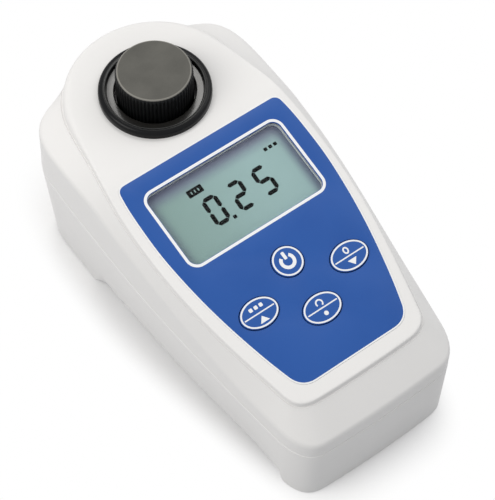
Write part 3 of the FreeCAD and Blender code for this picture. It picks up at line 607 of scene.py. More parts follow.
@dataclass(frozen=True)
class Moulded(Finish):
    """Moulded plastic or rubber: a fine spark-eroded grain, faint mottling, uneven sheen."""

    name: str
    colour: Colour
    roughness: float = 0.42
    mottle: float = 0.04
    grain_mm: float = 0.35
    relief_mm: float = 0.012
    gloss: float = 0.5
    cloud_mm: float = 14.0
    cloud_share: float = 0.7
    cloud_rough: float = 0.10
    grain_rough: float = 0.06

    def paint(self, paint: Paint) -> None:
        """Mottled colour, roughness that varies with a broad noise, and a fine relief.

        Args:
            paint: node tree of the material.
        """
        broad = paint.noise(self.cloud_mm, detail=4.0)
        fine = paint.noise(self.grain_mm, detail=2.0)
        spread = broad * self.cloud_share + fine * (1 - self.cloud_share)
        uneven = broad.swing(self.cloud_rough) + fine.swing(self.grain_rough)
        dark = dimmed(self.colour, 1 - self.mottle)
        paint.principled(
            {
                "Base Color": paint.mix(spread, self.colour, dark),
                "Roughness": self.roughness + uneven,
                "Normal": paint.bump(fine, self.relief_mm),
                "Specular IOR Level": self.gloss,
            }
        )


@dataclass(frozen=True)
class PrintedFilm(Finish):
    """Printed polyester film: an even ink layer under a softly rippled satin face."""

    name: str
    colour: Colour
    deep: Colour
    roughness: float = 0.33
    cloud_mm: float = 22.0
    peel_mm: float = 0.8
    speck_mm: float = 0.12
    relief_mm: float = 0.006
    cloud_span: Pair = (0.3, 0.75)
    cloud_share: float = 0.6
    speck_share: float = 0.25
    peel_rough: float = 0.12
    gloss: float = 0.2

    def paint(self, paint: Paint) -> None:
        """Ink with cloudy depth, and an orange-peel relief of about a millimetre.

        Args:
            paint: node tree of the material.
        """
        cloud = paint.noise(self.cloud_mm).eased(*self.cloud_span)
        peel = paint.noise(self.peel_mm, detail=2.0)
        speck = paint.noise(self.speck_mm, detail=1.0)
        depth = cloud * self.cloud_share + speck * self.speck_share
        paint.principled(
            {
                "Base Color": paint.mix(depth, self.colour, self.deep),
                "Roughness": self.roughness + peel.swing(self.peel_rough),
                "Normal": paint.bump(peel, self.relief_mm),
                "Specular IOR Level": self.gloss,
            }
        )


@dataclass(frozen=True)
class DisplayGlass(Finish):
    """Liquid crystal panel: grey green, with a fine cell pattern and painted shadow of the
    window's walls along its rear and side edges.
    """

    name: str
    light: Colour
    dark: Colour
    # Purple grey of the painted shadow along the rear and side edges
    recess_shadow: Colour
    half_width_mm: float
    rear_y_mm: float
    cloud_mm: float = 16.0
    cell_mm: float = 0.16
    # Widths of the painted shadow at the rear and at the sides
    rear_shadow_mm: float = 6.0
    side_shadow_mm: float = 4.2
    bright_end: float = 0.6
    bright_share: float = 0.75
    cloud_share: float = 0.3
    cell_share: float = 0.25
    # Painted shadow at the sides: its least share, and the share added towards the right
    side_shares: Pair = (0.55, 0.35)
    recess_shadow_share: float = 0.85
    roughness: float = 0.34
    cell_rough: float = 0.1
    gloss: float = 0.3

    def paint(self, paint: Paint) -> None:
        """Cloudy polariser colour, lighter to the right, with painted shadow that darkens it
        towards the rear and side edges.

        Args:
            paint: node tree of the material.
        """
        x, y, _ = paint.axes()
        cloud = paint.noise(self.cloud_mm, detail=2.0)
        cell = paint.noise(self.cell_mm, detail=1.0)
        half = self.half_width_mm * MM
        bright = x.eased(-half, half * self.bright_end) * self.bright_share
        bright = bright + cloud * self.cloud_share + cell.swing(self.cell_share)
        body = paint.mix(bright, self.dark, self.light)
        # Painted shadow: darker towards the rear edge and both sides, most on the right
        rear = y.eased((self.rear_y_mm - self.rear_shadow_mm) * MM, self.rear_y_mm * MM)
        brink = x.size().eased(half - self.side_shadow_mm * MM, half)
        least, more = self.side_shares
        sides = brink * (least + x.eased(0.0, half) * more)
        edge = 1 - (1 - rear) * (1 - sides)
        paint.principled(
            {
                "Base Color": paint.mix(edge * self.recess_shadow_share, body, self.recess_shadow),
                "Roughness": self.roughness + cell.swing(self.cell_rough),
                "Specular IOR Level": self.gloss,
            }
        )


@dataclass(frozen=True)
class ClearPane(Finish):
    """Clear pane: see-through, with a gloss that grows at a slant."""

    name: str
    haze: float = 0.08
    body: Colour = (0.96, 0.985, 0.985, 1.0)
    shine: float = 0.95
    index: float = 1.42
    smear_mm: float = 6.0
    smear_stretch: Triple = (1.0, 0.35, 1.0)
    smear_rough: float = 0.1
    smear_shine: float = 0.4

    def paint(self, paint: Paint) -> None:
        """See-through shader mixed with a glossy one by Fresnel and a faint smear.

        Args:
            paint: node tree of the material.
        """
        smear = paint.noise(self.smear_mm, 4.0, self.smear_stretch)
        clear = paint.node("ShaderNodeBsdfTransparent", inputs={"Color": self.body})
        rough = self.haze + smear * self.smear_rough
        gloss = paint.node("ShaderNodeBsdfGlossy", inputs={"Roughness": rough})
        facing = paint.node("ShaderNodeFresnel", inputs={"IOR": self.index})
        share = facing * (self.shine + smear.swing(self.smear_shine * self.shine))
        paint.surface(paint.node("ShaderNodeMixShader", inputs={0: share, 1: clear, 2: gloss}))


@dataclass(frozen=True)
class VialGlass(Finish):
    """Borosilicate glass with faint draw lines down its wall."""

    name: str
    body: Colour = (0.97, 0.99, 0.985, 1.0)
    index: float = 1.47
    line_mm: float = 1.6
    line_stretch: Triple = (1.0, 1.0, 0.06)
    line_rough: float = 0.03
    roughness: float = 0.015
    relief_mm: float = 0.01
    relief_strength: float = 0.4

    def paint(self, paint: Paint) -> None:
        """Clear glass, with a relief of lines drawn out along the axis."""
        lines = paint.noise(self.line_mm, 2.0, self.line_stretch)
        paint.principled(
            {
                "Base Color": self.body,
                "Roughness": self.roughness + lines * self.line_rough,
                "IOR": self.index,
                "Transmission Weight": 1.0,
                "Normal": paint.bump(lines, self.relief_mm, self.relief_strength),
            }
        )


@dataclass(frozen=True)
class KnurledCap(Finish):
    """Black moulded cap whose flat top is turned, with fine rings, a grey top of dust and
    painted sheen, and a painted highlight round the top's rim.
    """

    name: str
    side: Colour
    # Grey of the top: dust with a painted sheen
    top: Colour
    # Painted highlight in a band just inside the top's rim
    rim_highlight: Colour
    centre_y_mm: float
    top_z_mm: float
    face_mm: float
    top_band_mm: Pair = (0.5, 0.1)
    rim_highlight_band_mm: Pair = (0.32, 0.1)
    ring_mm: float = 0.32
    grain_mm: float = 0.25
    dust_mm: float = 7.0
    relief_mm: float = 0.012
    dust_and_sheen_least: float = 0.62
    dust_share: float = 0.5
    grain_share: float = 0.25
    grain_relief: float = 0.6
    roughness: float = 0.40
    top_rough: float = 0.14
    grain_rough: float = 0.12
    gloss: float = 0.16

    def paint(self, paint: Paint) -> None:
        """Rings are sin(k r) about the axis; the top's colour, dust with a painted sheen, and
        the rings show near its top, and a painted highlight lightens a band inside the top's
        rim.

        Args:
            paint: node tree of the material.
        """
        radius, z = paint.radius(self.centre_y_mm), paint.axes()[2]
        on_top = z.eased(*((self.top_z_mm - drop) * MM for drop in self.top_band_mm))
        # Band of the painted highlight, just inside the top's rim
        brink = radius.eased(*((self.face_mm - inset) * MM for inset in self.rim_highlight_band_mm))
        rings = (radius * (2 * np.pi / (self.ring_mm * MM))).wave() * 0.5 + 0.5
        fine, broad = paint.noise(self.grain_mm), paint.noise(self.dust_mm, detail=4.0)
        spread = broad * self.dust_share + fine.swing(self.grain_share)
        # Top's colour: dust with a painted sheen
        dust_and_sheen = paint.mix(on_top * (self.dust_and_sheen_least + spread), self.side, self.top)
        relief = fine * self.grain_relief + rings * on_top * (1 - self.grain_relief)
        uneven = on_top * self.top_rough + fine.swing(self.grain_rough)
        paint.principled(
            {
                "Base Color": paint.mix(brink * on_top, dust_and_sheen, self.rim_highlight),
                "Roughness": self.roughness + uneven,
                "Normal": paint.bump(relief, self.relief_mm),
                "Specular IOR Level": self.gloss,
            }
        )


@dataclass(frozen=True)
class TurnedCollar(Finish):
    """Black collar: a rounded crest, a fine painted highlight line along its inner edge and a
    polished land.
    """

    name: str
    crest: Colour
    land: Colour
    # Light grey of the painted highlight along the crest's inner edge
    line: Colour
    centre_y_mm: float
    inner_mm: float
    land_band_mm: Pair = (-0.5, -0.3)
    highlight_bands_mm: Pairs = ((0.0, 0.1), (0.3, 0.55))
    grain_mm: float = 0.3
    cloud_mm: float = 6.0
    relief_mm: float = 0.006
    highlight_shares: Pair = (0.55, 0.4)
    land_shares: Pair = (0.8, 0.3)
    roughness: float = 0.24
    land_rough: float = 0.06
    grain_rough: float = 0.1
    gloss: float = 0.15
    coat: float = 0.8
    coat_rough: float = 0.22
    coat_index: float = 1.7

    def paint(self, paint: Paint) -> None:
        """Bands by the radius past the crest's inner edge, among them a painted highlight, with
        a fine grain over all.

        Args:
            paint: node tree of the material.
        """
        past = paint.radius(self.centre_y_mm) / MM - self.inner_mm
        start, end = self.highlight_bands_mm
        on_land = 1 - past.eased(*self.land_band_mm)
        # Band of the painted highlight on the crest's inner rounding
        in_highlight = past.eased(*start) * (1 - past.eased(*end))
        fine, broad = paint.noise(self.grain_mm), paint.noise(self.cloud_mm)
        line, land = (
            least + broad * more for least, more in (self.highlight_shares, self.land_shares)
        )
        # Painted highlight mixed into the crest's black
        dark = paint.mix(in_highlight * line, self.crest, self.line)
        uneven = on_land * self.land_rough + fine.swing(self.grain_rough)
        paint.principled(
            {
                "Base Color": paint.mix(on_land * land, dark, self.land),
                "Roughness": self.roughness + uneven,
                "Normal": paint.bump(fine, self.relief_mm),
                "Specular IOR Level": self.gloss,
                "Coat Weight": on_land * self.coat,
                "Coat Roughness": self.coat_rough,
                "Coat IOR": self.coat_index,
            }
        )


@dataclass(frozen=True)
class Metal(Finish):
    """Plated metal with fine drawn scratches."""

    name: str
    colour: Colour
    roughness: float = 0.28
    dulled: float = 0.72
    scratch_mm: float = 0.25
    tarnish_mm: float = 3.0
    relief_mm: float = 0.006
    scratch_stretch: Triple = (1.0, 1.0, 0.08)
    scratch_rough: float = 0.25
    tarnish_span: Pair = (0.35, 0.8)

    def paint(self, paint: Paint) -> None:
        """Scratches are a noise stretched along one axis, in roughness and relief.

        Args:
            paint: node tree of the material.
        """
        drawn = paint.noise(self.scratch_mm, 2.0, self.scratch_stretch)
        tarnish = paint.noise(self.tarnish_mm, detail=4.0).eased(*self.tarnish_span)
        dull = dimmed(self.colour, self.dulled)
        paint.principled(
            {
                "Base Color": paint.mix(tarnish, self.colour, dull),
                "Metallic": 1.0,
                "Roughness": self.roughness + drawn.swing(self.scratch_rough),
                "Normal": paint.bump(drawn, self.relief_mm),
            }
        )


@dataclass(frozen=True)
class CircuitBoard(Finish):
    """Solder mask over copper tracks, whose turn is in radians a metre along x and y."""

    name: str
    mask: Colour
    track: Colour
    turn: Pair = (900.0, 500.0)
    bend: float = 16.0
    bend_mm: float = 9.0
    relief_mm: float = 0.03
    band_span: Pair = (0.62, 0.74)
    roughness: float = 0.38
    band_rough: float = 0.08

    def paint(self, paint: Paint) -> None:
        """Tracks are the bands of a wave bent by noise, raised a little under the mask.

        Args:
            paint: node tree of the material.
        """
        x, y, _ = paint.axes()
        bend = paint.noise(self.bend_mm, detail=0.0) * self.bend
        wave = (x * self.turn[0] + y * self.turn[1] + bend).wave()
        bands = (wave * 0.5 + 0.5).eased(*self.band_span)
        paint.principled(
            {
                "Base Color": paint.mix(bands, self.mask, self.track),
                "Roughness": self.roughness - bands * self.band_rough,
                "Normal": paint.bump(bands, self.relief_mm),
            }
        )


@dataclass(frozen=True)
class CellWrap(Finish):
    """Shrink sleeve of a small round cell, with one plain band near either end."""

    name: str
    sleeve: Colour
    band: Colour
    band_mm: Pair = (15.0, 22.6)
    blur_mm: float = 0.2
    crease_mm: float = 2.2
    relief_mm: float = 0.02
    crease_stretch: Triple = (0.3, 1.0, 1.0)
    crease_rough: float = 0.14
    roughness: float = 0.26
    band_metal: float = 0.7

    def paint(self, paint: Paint) -> None:
        """The bands lie across each cell's length, at equal reaches from its middle.

        Args:
            paint: node tree of the material.
        """
        reach = paint.axes()[0].size()
        start, end = (reach.eased(at * MM, (at + self.blur_mm) * MM) for at in self.band_mm)
        stripe = start * (1 - end)
        crease = paint.noise(self.crease_mm, stretch=self.crease_stretch)
        paint.principled(
            {
                "Base Color": paint.mix(stripe, self.sleeve, self.band),
                "Metallic": stripe * self.band_metal,
                "Roughness": self.roughness + crease * self.crease_rough,
                "Normal": paint.bump(crease, self.relief_mm),
            }
        )


# Moulded finishes: colour, roughness, mottle, grain, relief and gloss
CASE_WHITE = Moulded("case_warm_white", tint(240, 239, 238), 0.46, 0.03, 0.4, 0.010, 0.16)
DOOR_WHITE = Moulded("door_warm_white", tint(237, 236, 235), 0.5, 0.04, 0.4, 0.014, 0.16)
BLUE_FILM = PrintedFilm("overlay_blue_film", tint(44, 91, 168), tint(38, 84, 160))
KEY_BLUE = Moulded("key_blue_rubber", tint(44, 91, 168), 0.46, 0.06, 0.3, 0.008, 0.2)
WHITE_INK = Moulded("white_ink", tint(247, 248, 249), 0.5, 0.05, 0.15, 0.004, 0.3)
DARK_SEGMENT = Moulded("display_segment", tint(8, 9, 10), 0.5, 0.25, 0.12, 0.002, 0.05)
BLACK_PLASTIC = Moulded("black_plastic", tint(30, 30, 31), 0.45, 0.2, 0.3, 0.012, 0.4)
BLACK_RUBBER = Moulded("black_rubber", tint(26, 26, 27), 0.68, 0.25, 0.25, 0.02, 0.25)
WHITE_PLASTIC = Moulded("white_plastic", tint(224, 224, 220), 0.48, 0.05, 0.3, 0.01)
LINER_WHITE = Moulded("liner_white", tint(232, 231, 226), 0.58, 0.05, 0.5, 0.015, 0.3)
LEAD_RED = Moulded("lead_red", tint(172, 34, 30), 0.42, 0.12, 0.3, 0.01)
LEAD_BLACK = Moulded("lead_black", tint(30, 30, 32), 0.42, 0.15, 0.3, 0.01)
PANE = ClearPane("window_pane", shine=0.22)
LAMP_CLEAR = ClearPane("lamp_epoxy", 0.12, (0.90, 0.95, 0.97, 1.0))
FILTER_GLASS = ClearPane("filter_green", 0.05, (0.30, 0.72, 0.42, 1.0))
GLASS = VialGlass("vial_glass_clear")
STEEL = Metal("plated_steel", (0.62, 0.62, 0.60, 1.0))
SPRING_STEEL = Metal("spring_nickel", (0.70, 0.68, 0.63, 1.0), 0.22)
BOARD = CircuitBoard("board_mask_green", tint(22, 92, 54), tint(34, 122, 74))
WRAP = CellWrap("cell_sleeve", tint(28, 30, 34), tint(186, 142, 72))

SLOT_FINISHES: dict[str, Finish] = {
    "case_plastic": CASE_WHITE,
    "overlay_blue": BLUE_FILM,
    "clear_window": PANE,
    "key_blue": KEY_BLUE,
    "black_plastic": BLACK_PLASTIC,
    "black_rubber": BLACK_RUBBER,
    "vial_glass": GLASS,
    "liner_white": LINER_WHITE,
    "board_green": BOARD,
    "white_plastic": WHITE_PLASTIC,
    "steel": STEEL,
    "spring_steel": SPRING_STEEL,
    "lamp_clear": LAMP_CLEAR,
    "filter_glass": FILTER_GLASS,
    "cell_wrap": WRAP,
    "lead_red": LEAD_RED,
    "lead_black": LEAD_BLACK,
}


def dress(
    piece: Piece, finish: Finish, body: Body, slot: str, *stands_for: str
) -> Piece:
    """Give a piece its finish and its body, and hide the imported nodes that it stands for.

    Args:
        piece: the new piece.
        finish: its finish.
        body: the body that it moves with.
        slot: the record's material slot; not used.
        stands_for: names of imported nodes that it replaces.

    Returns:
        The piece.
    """
    piece.data.materials.append(finish.material())
    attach(piece, body.value)
    if stands_for:
        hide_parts(*stands_for)
    LOG.info("%s: %d faces, rides %s", piece.name, len(piece.data.polygons), body.value)
    return piece


# The sloping panel


@dataclass(frozen=True)
class Panel:
    """Frame of the sloping panel, and the top level of the case along its length."""

    crease_y: float = 24.8
    level: float = 63.0
    slope_deg: float = 11.5
    crease_radius: float = 28.0
    crease_reach: float = 3.6

    def place(self, plan: Array, w: Array | float) -> Array:
        """Panel points (u, v) at a height w off the panel, in the frame of the construction.

        Args:
            plan: points (u, v).
            w: height off the panel, for all or for each.

        Returns:
            Points (x, y, z).
        """
        c, s = np.cos(np.radians(self.slope_deg)), np.sin(np.radians(self.slope_deg))
        v = plan[:, 1]
        return np.column_stack(
            [plan[:, 0], self.crease_y + v * c - w * s, self.level + v * s + w * c]
        )

    def height(self, y: Array) -> Array:
        """Level of the case's top at y: flat, then an arc over the crease, then the slope.

        Args:
            y: places along the case.

        Returns:
            The level at each place.
        """
        turn = np.radians(self.slope_deg)
        reach = self.crease_radius * np.tan(turn / 2)
        flat_from = self.crease_y + reach
        slope_from = self.crease_y - reach * np.cos(turn)
        dip = np.clip(flat_from - y, 0, self.crease_radius * np.sin(turn))
        arc = self.level - self.crease_radius + np.sqrt(self.crease_radius**2 - dip**2)
        return np.where(y < slope_from, self.level + (y - self.crease_y) * np.tan(turn), arc)

    def in_crease(self, y: Array) -> Array:
        """Whether points at y lie on the arc over the crease or just beside it."""
        return np.abs(y - self.crease_y) < self.crease_reach


def plates(
    name: str,
    panel: Panel,
    shapes: Sequence[Sequence[Array]],
    low: float,
    high: float,
    ease: float = 0.0,
) -> Piece:
    """Flat plates on the panel, filled between their loops, with eased upper edges.

    Args:
        name: name of the piece.
        panel: frame of the panel.
        shapes: for each plate, its outer loop and then its holes.
        low: height of the underside.
        high: height of the face.
        ease: width of the rounded upper edges.

    Returns:
        The plates as one piece.
    """
    shell = Shell()
    for loops in shapes:
        tops = list(loops)
        if ease:
            tops = [grown(loops[0], -ease), *(grown(hole, ease) for hole in loops[1:])]
        shell.region(tops, lambda spots: panel.place(spots, high))
        shell.region(loops, lambda spots: panel.place(spots, low))
        for edge, top in zip(loops, tops):
            side = [panel.place(edge, low), panel.place(edge, high - ease)]
            if ease:
                corner, end = panel.place(edge, high), panel.place(top, high)
                side.extend(rounding(side[-1], corner, end, EDGE_STEPS)[1:])
            shell.grid(side)
    return shell.piece(name)


@dataclass(frozen=True)
class KeySpot:
    """Place and half sizes of a key on the panel."""

    body: Body
    u: float
    v: float
    half_width: float
    half_depth: float

    def loop(self, grow: float = 0.0, count: int = 96) -> Array:
        """Outline of the key, grown by a gap."""
        return ellipse(self.half_width + grow, self.half_depth + grow, (self.u, self.v), count)


KEY_SPOTS = (
    KeySpot(Body.POWER, 0.0, -51.2, 5.2, 5.2),
    KeySpot(Body.ZERO, 17.6, -60.3, 6.7, 4.9),
    KeySpot(Body.MODE, -17.6, -60.3, 6.7, 4.9),
    KeySpot(Body.RECALL, 0.0, -69.7, 6.7, 4.9),
)


@dataclass(frozen=True)
class FrontFace:
    """Blue overlay, clear pane and the openings that the case has for them."""

    panel: Panel = Panel()
    overlay_rear: float = -2.2
    overlay_length: float = 85.0
    overlay_half_width: float = 32.0
    overlay_proud: float = 0.15
    recess_depth: float = 0.45
    recess_gap: float = 0.05
    window_width: float = 51.6
    window_depth: float = 27.9
    window_radius: float = 3.0
    window_v: float = -22.95
    pane_border: float = 1.4
    pane_gap: float = 0.1
    pane_seat: float = 1.45
    key_gap: float = 0.3
    rear_corner: float = 2.6
    front_corner: float = 5.4
    # Width of the white ring that paints a highlight along the film's edge
    edge_width: float = 0.5
    line_widths: Pair = (1.1, 0.14)
    ink: float = 0.02
    film_ease: float = 0.05
    pane_ease: float = 0.1
    edge_highlight_ease: float = 0.06
    side_samples: int = 160
    side_columns: int = 90
    corner_steps: tuple[int, int] = (10, 14)
    side_shares: Pairs = (
        (0.0, 0.972), (0.066, 0.994), (0.175, 1.008), (0.300, 1.006), (0.412, 0.982),
        (0.525, 0.944), (0.638, 0.892), (0.774, 0.812), (0.872, 0.744), (1.0, 0.640),
    )

    def overlay_loop(self, grow: float = 0.0) -> Array:
        """Outline of the overlay: curved sides, straight ends and eased corners.

        Args:
            grow: gap added outwards.

        Returns:
            The loop on the panel.
        """
        shares = np.asarray(self.side_shares)
        side = np.column_stack(
            [
                shares[:, 1] * self.overlay_half_width,
                self.overlay_rear - shares[:, 0] * self.overlay_length,
            ]
        )
        first, last = unit(side[1] - side[0]), unit(side[-1] - side[-2])
        run = spline_runs(side, first, last, (len(side) - 1,), (self.side_samples,))
        steps = np.linalg.norm(np.diff(run, axis=0), axis=1)
        length = np.concatenate([[0], np.cumsum(steps)])
        end = length[-1] - self.front_corner
        at = np.linspace(self.rear_corner, end, self.side_columns)
        right = np.column_stack([np.interp(at, length, run[:, k]) for k in (0, 1)])
        rear = run[0] - [self.rear_corner, 0]
        front = run[-1] - [self.front_corner, 0]
        rear_steps, front_steps = self.corner_steps
        rear_arc = rounding(rear[None], run[:1], right[:1], rear_steps)[:, 0]
        front_arc = rounding(right[-1:], run[-1:], front[None], front_steps)[:, 0]
        half = np.concatenate([rear_arc, right[1:-1], front_arc])
        loop = np.concatenate([half, half[::-1] * [-1, 1]])
        return grown(loop, grow) if grow else loop

    def window_loop(self, grow: float = 0.0) -> Array:
        """Outline of the window, grown by a border."""
        return rounded_rectangle(
            self.window_width + 2 * grow,
            self.window_depth + 2 * grow,
            self.window_radius + grow,
            (0.0, self.window_v),
        )

    def key_loops(self, grow: float) -> list[Array]:
        """Outlines of the keys, grown by a gap."""
        return [spot.loop(grow) for spot in KEY_SPOTS]

    def build_overlay(self) -> Piece:
        """The blue film with its window and key holes.

        Returns:
            The film.
        """
        loops = [self.overlay_loop(), self.window_loop(), *self.key_loops(self.key_gap)]
        low, high = -self.recess_depth, self.overlay_proud
        return plates("overlay_film", self.panel, [loops], low, high, self.film_ease)

    def build_pane(self) -> Piece:
        """The clear pane in its seat under the film.

        Returns:
            The pane.
        """
        loops = [self.window_loop(self.pane_border)]
        low, high = -self.pane_seat, -self.recess_depth
        return plates("window_pane", self.panel, [loops], low, high, self.pane_ease)

    def build_edge_highlight(self) -> Piece:
        """White ring round the film, outside its blue print, that paints a highlight along the
        film's edge.

        Returns:
            The ring of painted highlight.
        """
        loops = [self.overlay_loop(self.edge_width), self.overlay_loop()]
        low, high = -self.recess_depth, self.overlay_proud + self.ink
        return plates("overlay_edge_highlight", self.panel, [loops], low, high, self.edge_highlight_ease)

    def build_frame_line(self) -> Piece:
        """White printed line round the window.

        Returns:
            The line.
        """
        loops = [self.window_loop(width) for width in self.line_widths]
        low, high = self.overlay_proud - self.ink, self.overlay_proud + self.ink
        return plates("window_line", self.panel, [loops], low, high)

    def dress(self) -> None:
        """Build and dress the pieces of the face."""
        case = Body.CASE
        dress(self.build_overlay(), BLUE_FILM, case, "overlay_blue", "front_overlay")
        dress(self.build_pane(), PANE, case, "clear_window", "window_lens")
        # White ring of painted highlight along the film's edge
        dress(self.build_edge_highlight(), WHITE_INK, case, "overlay_blue")
        dress(self.build_frame_line(), WHITE_INK, case, "overlay_blue")


# The display


class Segment(Enum):
    """Strokes of a seven-stroke figure: middle (across, up) in half sizes, and direction."""

    TOP = (0, 1, "across")
    UPPER_RIGHT = (1, 0.5, "up")
    LOWER_RIGHT = (1, -0.5, "up")
    BOTTOM = (0, -1, "across")
    LOWER_LEFT = (-1, -0.5, "up")
    UPPER_LEFT = (-1, 0.5, "up")
    MIDDLE = (0, 0, "across")


FIGURES: dict[int, tuple[Segment, ...]] = {
    0: (
        Segment.TOP, Segment.UPPER_RIGHT, Segment.LOWER_RIGHT,
        Segment.BOTTOM, Segment.LOWER_LEFT, Segment.UPPER_LEFT,
    ),
    2: (
        Segment.TOP, Segment.UPPER_RIGHT, Segment.MIDDLE, Segment.LOWER_LEFT, Segment.BOTTOM,
    ),
    5: (
        Segment.TOP, Segment.UPPER_LEFT, Segment.MIDDLE, Segment.LOWER_RIGHT, Segment.BOTTOM,
    ),
}


@dataclass(frozen=True)
class Display:
    """Figures and marks that show on the liquid crystal panel."""

    panel: Panel = Panel()
    face_w: float = -2.552
    ink: float = 0.03
    half_width: float = 2.15
    half_height: float = 4.6
    stroke: float = 1.42
    joint_gap: float = 0.1
    lean: float = 0.03
    middle_v: float = -23.95
    figures: tuple[tuple[int, float], ...] = ((0, -7.95), (2, 1.65), (5, 11.3))
    point_size: Pair = (1.25, 1.25)
    point_u: float = -4.1
    point_drop: float = 5.1
    charge_size: Pair = (5.6, 2.7)
    charge_spot: Pair = (-9.9, -15.0)
    charge_round: float = 0.3
    slot_size: Pair = (0.45, 1.0)
    slot_shifts: Triple = (-1.3, 0.0, 1.3)
    slot_round: float = 0.1
    dot_size: Pair = (1.25, 1.2)
    dot_spots: Pairs = ((17.8, -15.2), (19.7, -15.2), (21.6, -15.2))
    dot_round: float = 0.2

    def stroke_loop(self, segment: Segment, u: float) -> Array:
        """Six-sided stroke with pointed ends, sheared by the figure's lean.

        Args:
            segment: which stroke.
            u: middle of the figure.

        Returns:
            The stroke's loop on the panel.
        """
        across, up, way = segment.value
        half = self.stroke / 2
        reach = (self.half_width if way == "across" else self.half_height / 2) - self.joint_gap
        bar = np.array(
            [
                [-reach, 0], [half - reach, half], [reach - half, half],
                [reach, 0], [reach - half, -half], [half - reach, -half],
            ]
        )
        if way == "up":
            bar = bar[:, ::-1]
        loop = bar + [across * self.half_width, up * self.half_height]
        loop[:, 0] += loop[:, 1] * self.lean
        return loop + [u, self.middle_v]

    def printed(self, name: str, shapes: Sequence[Sequence[Array]]) -> Piece:
        """Thin plates in the face of the panel, as one piece."""
        low, high = self.face_w - self.ink, self.face_w + self.ink
        return plates(name, self.panel, shapes, low, high)

    def build_figures(self) -> Piece:
        """The figures with their decimal point.

        Returns:
            The figures as one piece.
        """
        strokes = [
            [self.stroke_loop(segment, u)]
            for figure, u in self.figures
            for segment in FIGURES[figure]
        ]
        spot = (self.point_u, self.middle_v - self.point_drop)
        point = rounded_rectangle(*self.point_size, self.dot_round, spot, per_corner=4)
        return self.printed("display_figures", [*strokes, [point]])

    def build_marks(self) -> Piece:
        """A charge sign, as a block with three slots, and three plain unit dots.

        Returns:
            The marks as one piece.
        """
        u, v = self.charge_spot
        block = rounded_rectangle(*self.charge_size, self.charge_round, (u, v), per_corner=5)
        slots = [
            rounded_rectangle(*self.slot_size, self.slot_round, (u + shift, v), per_corner=4)
            for shift in self.slot_shifts
        ]
        dots = [
            [rounded_rectangle(*self.dot_size, self.dot_round, spot, per_corner=4)]
            for spot in self.dot_spots
        ]
        return self.printed("display_marks", [[block, *slots], *dots])

    def dress(self) -> None:
        """Build and dress the figures and marks."""
        dress(self.build_figures(), DARK_SEGMENT, Body.CASE, "display_glass")
        dress(self.build_marks(), DARK_SEGMENT, Body.CASE, "display_glass")


# The keys


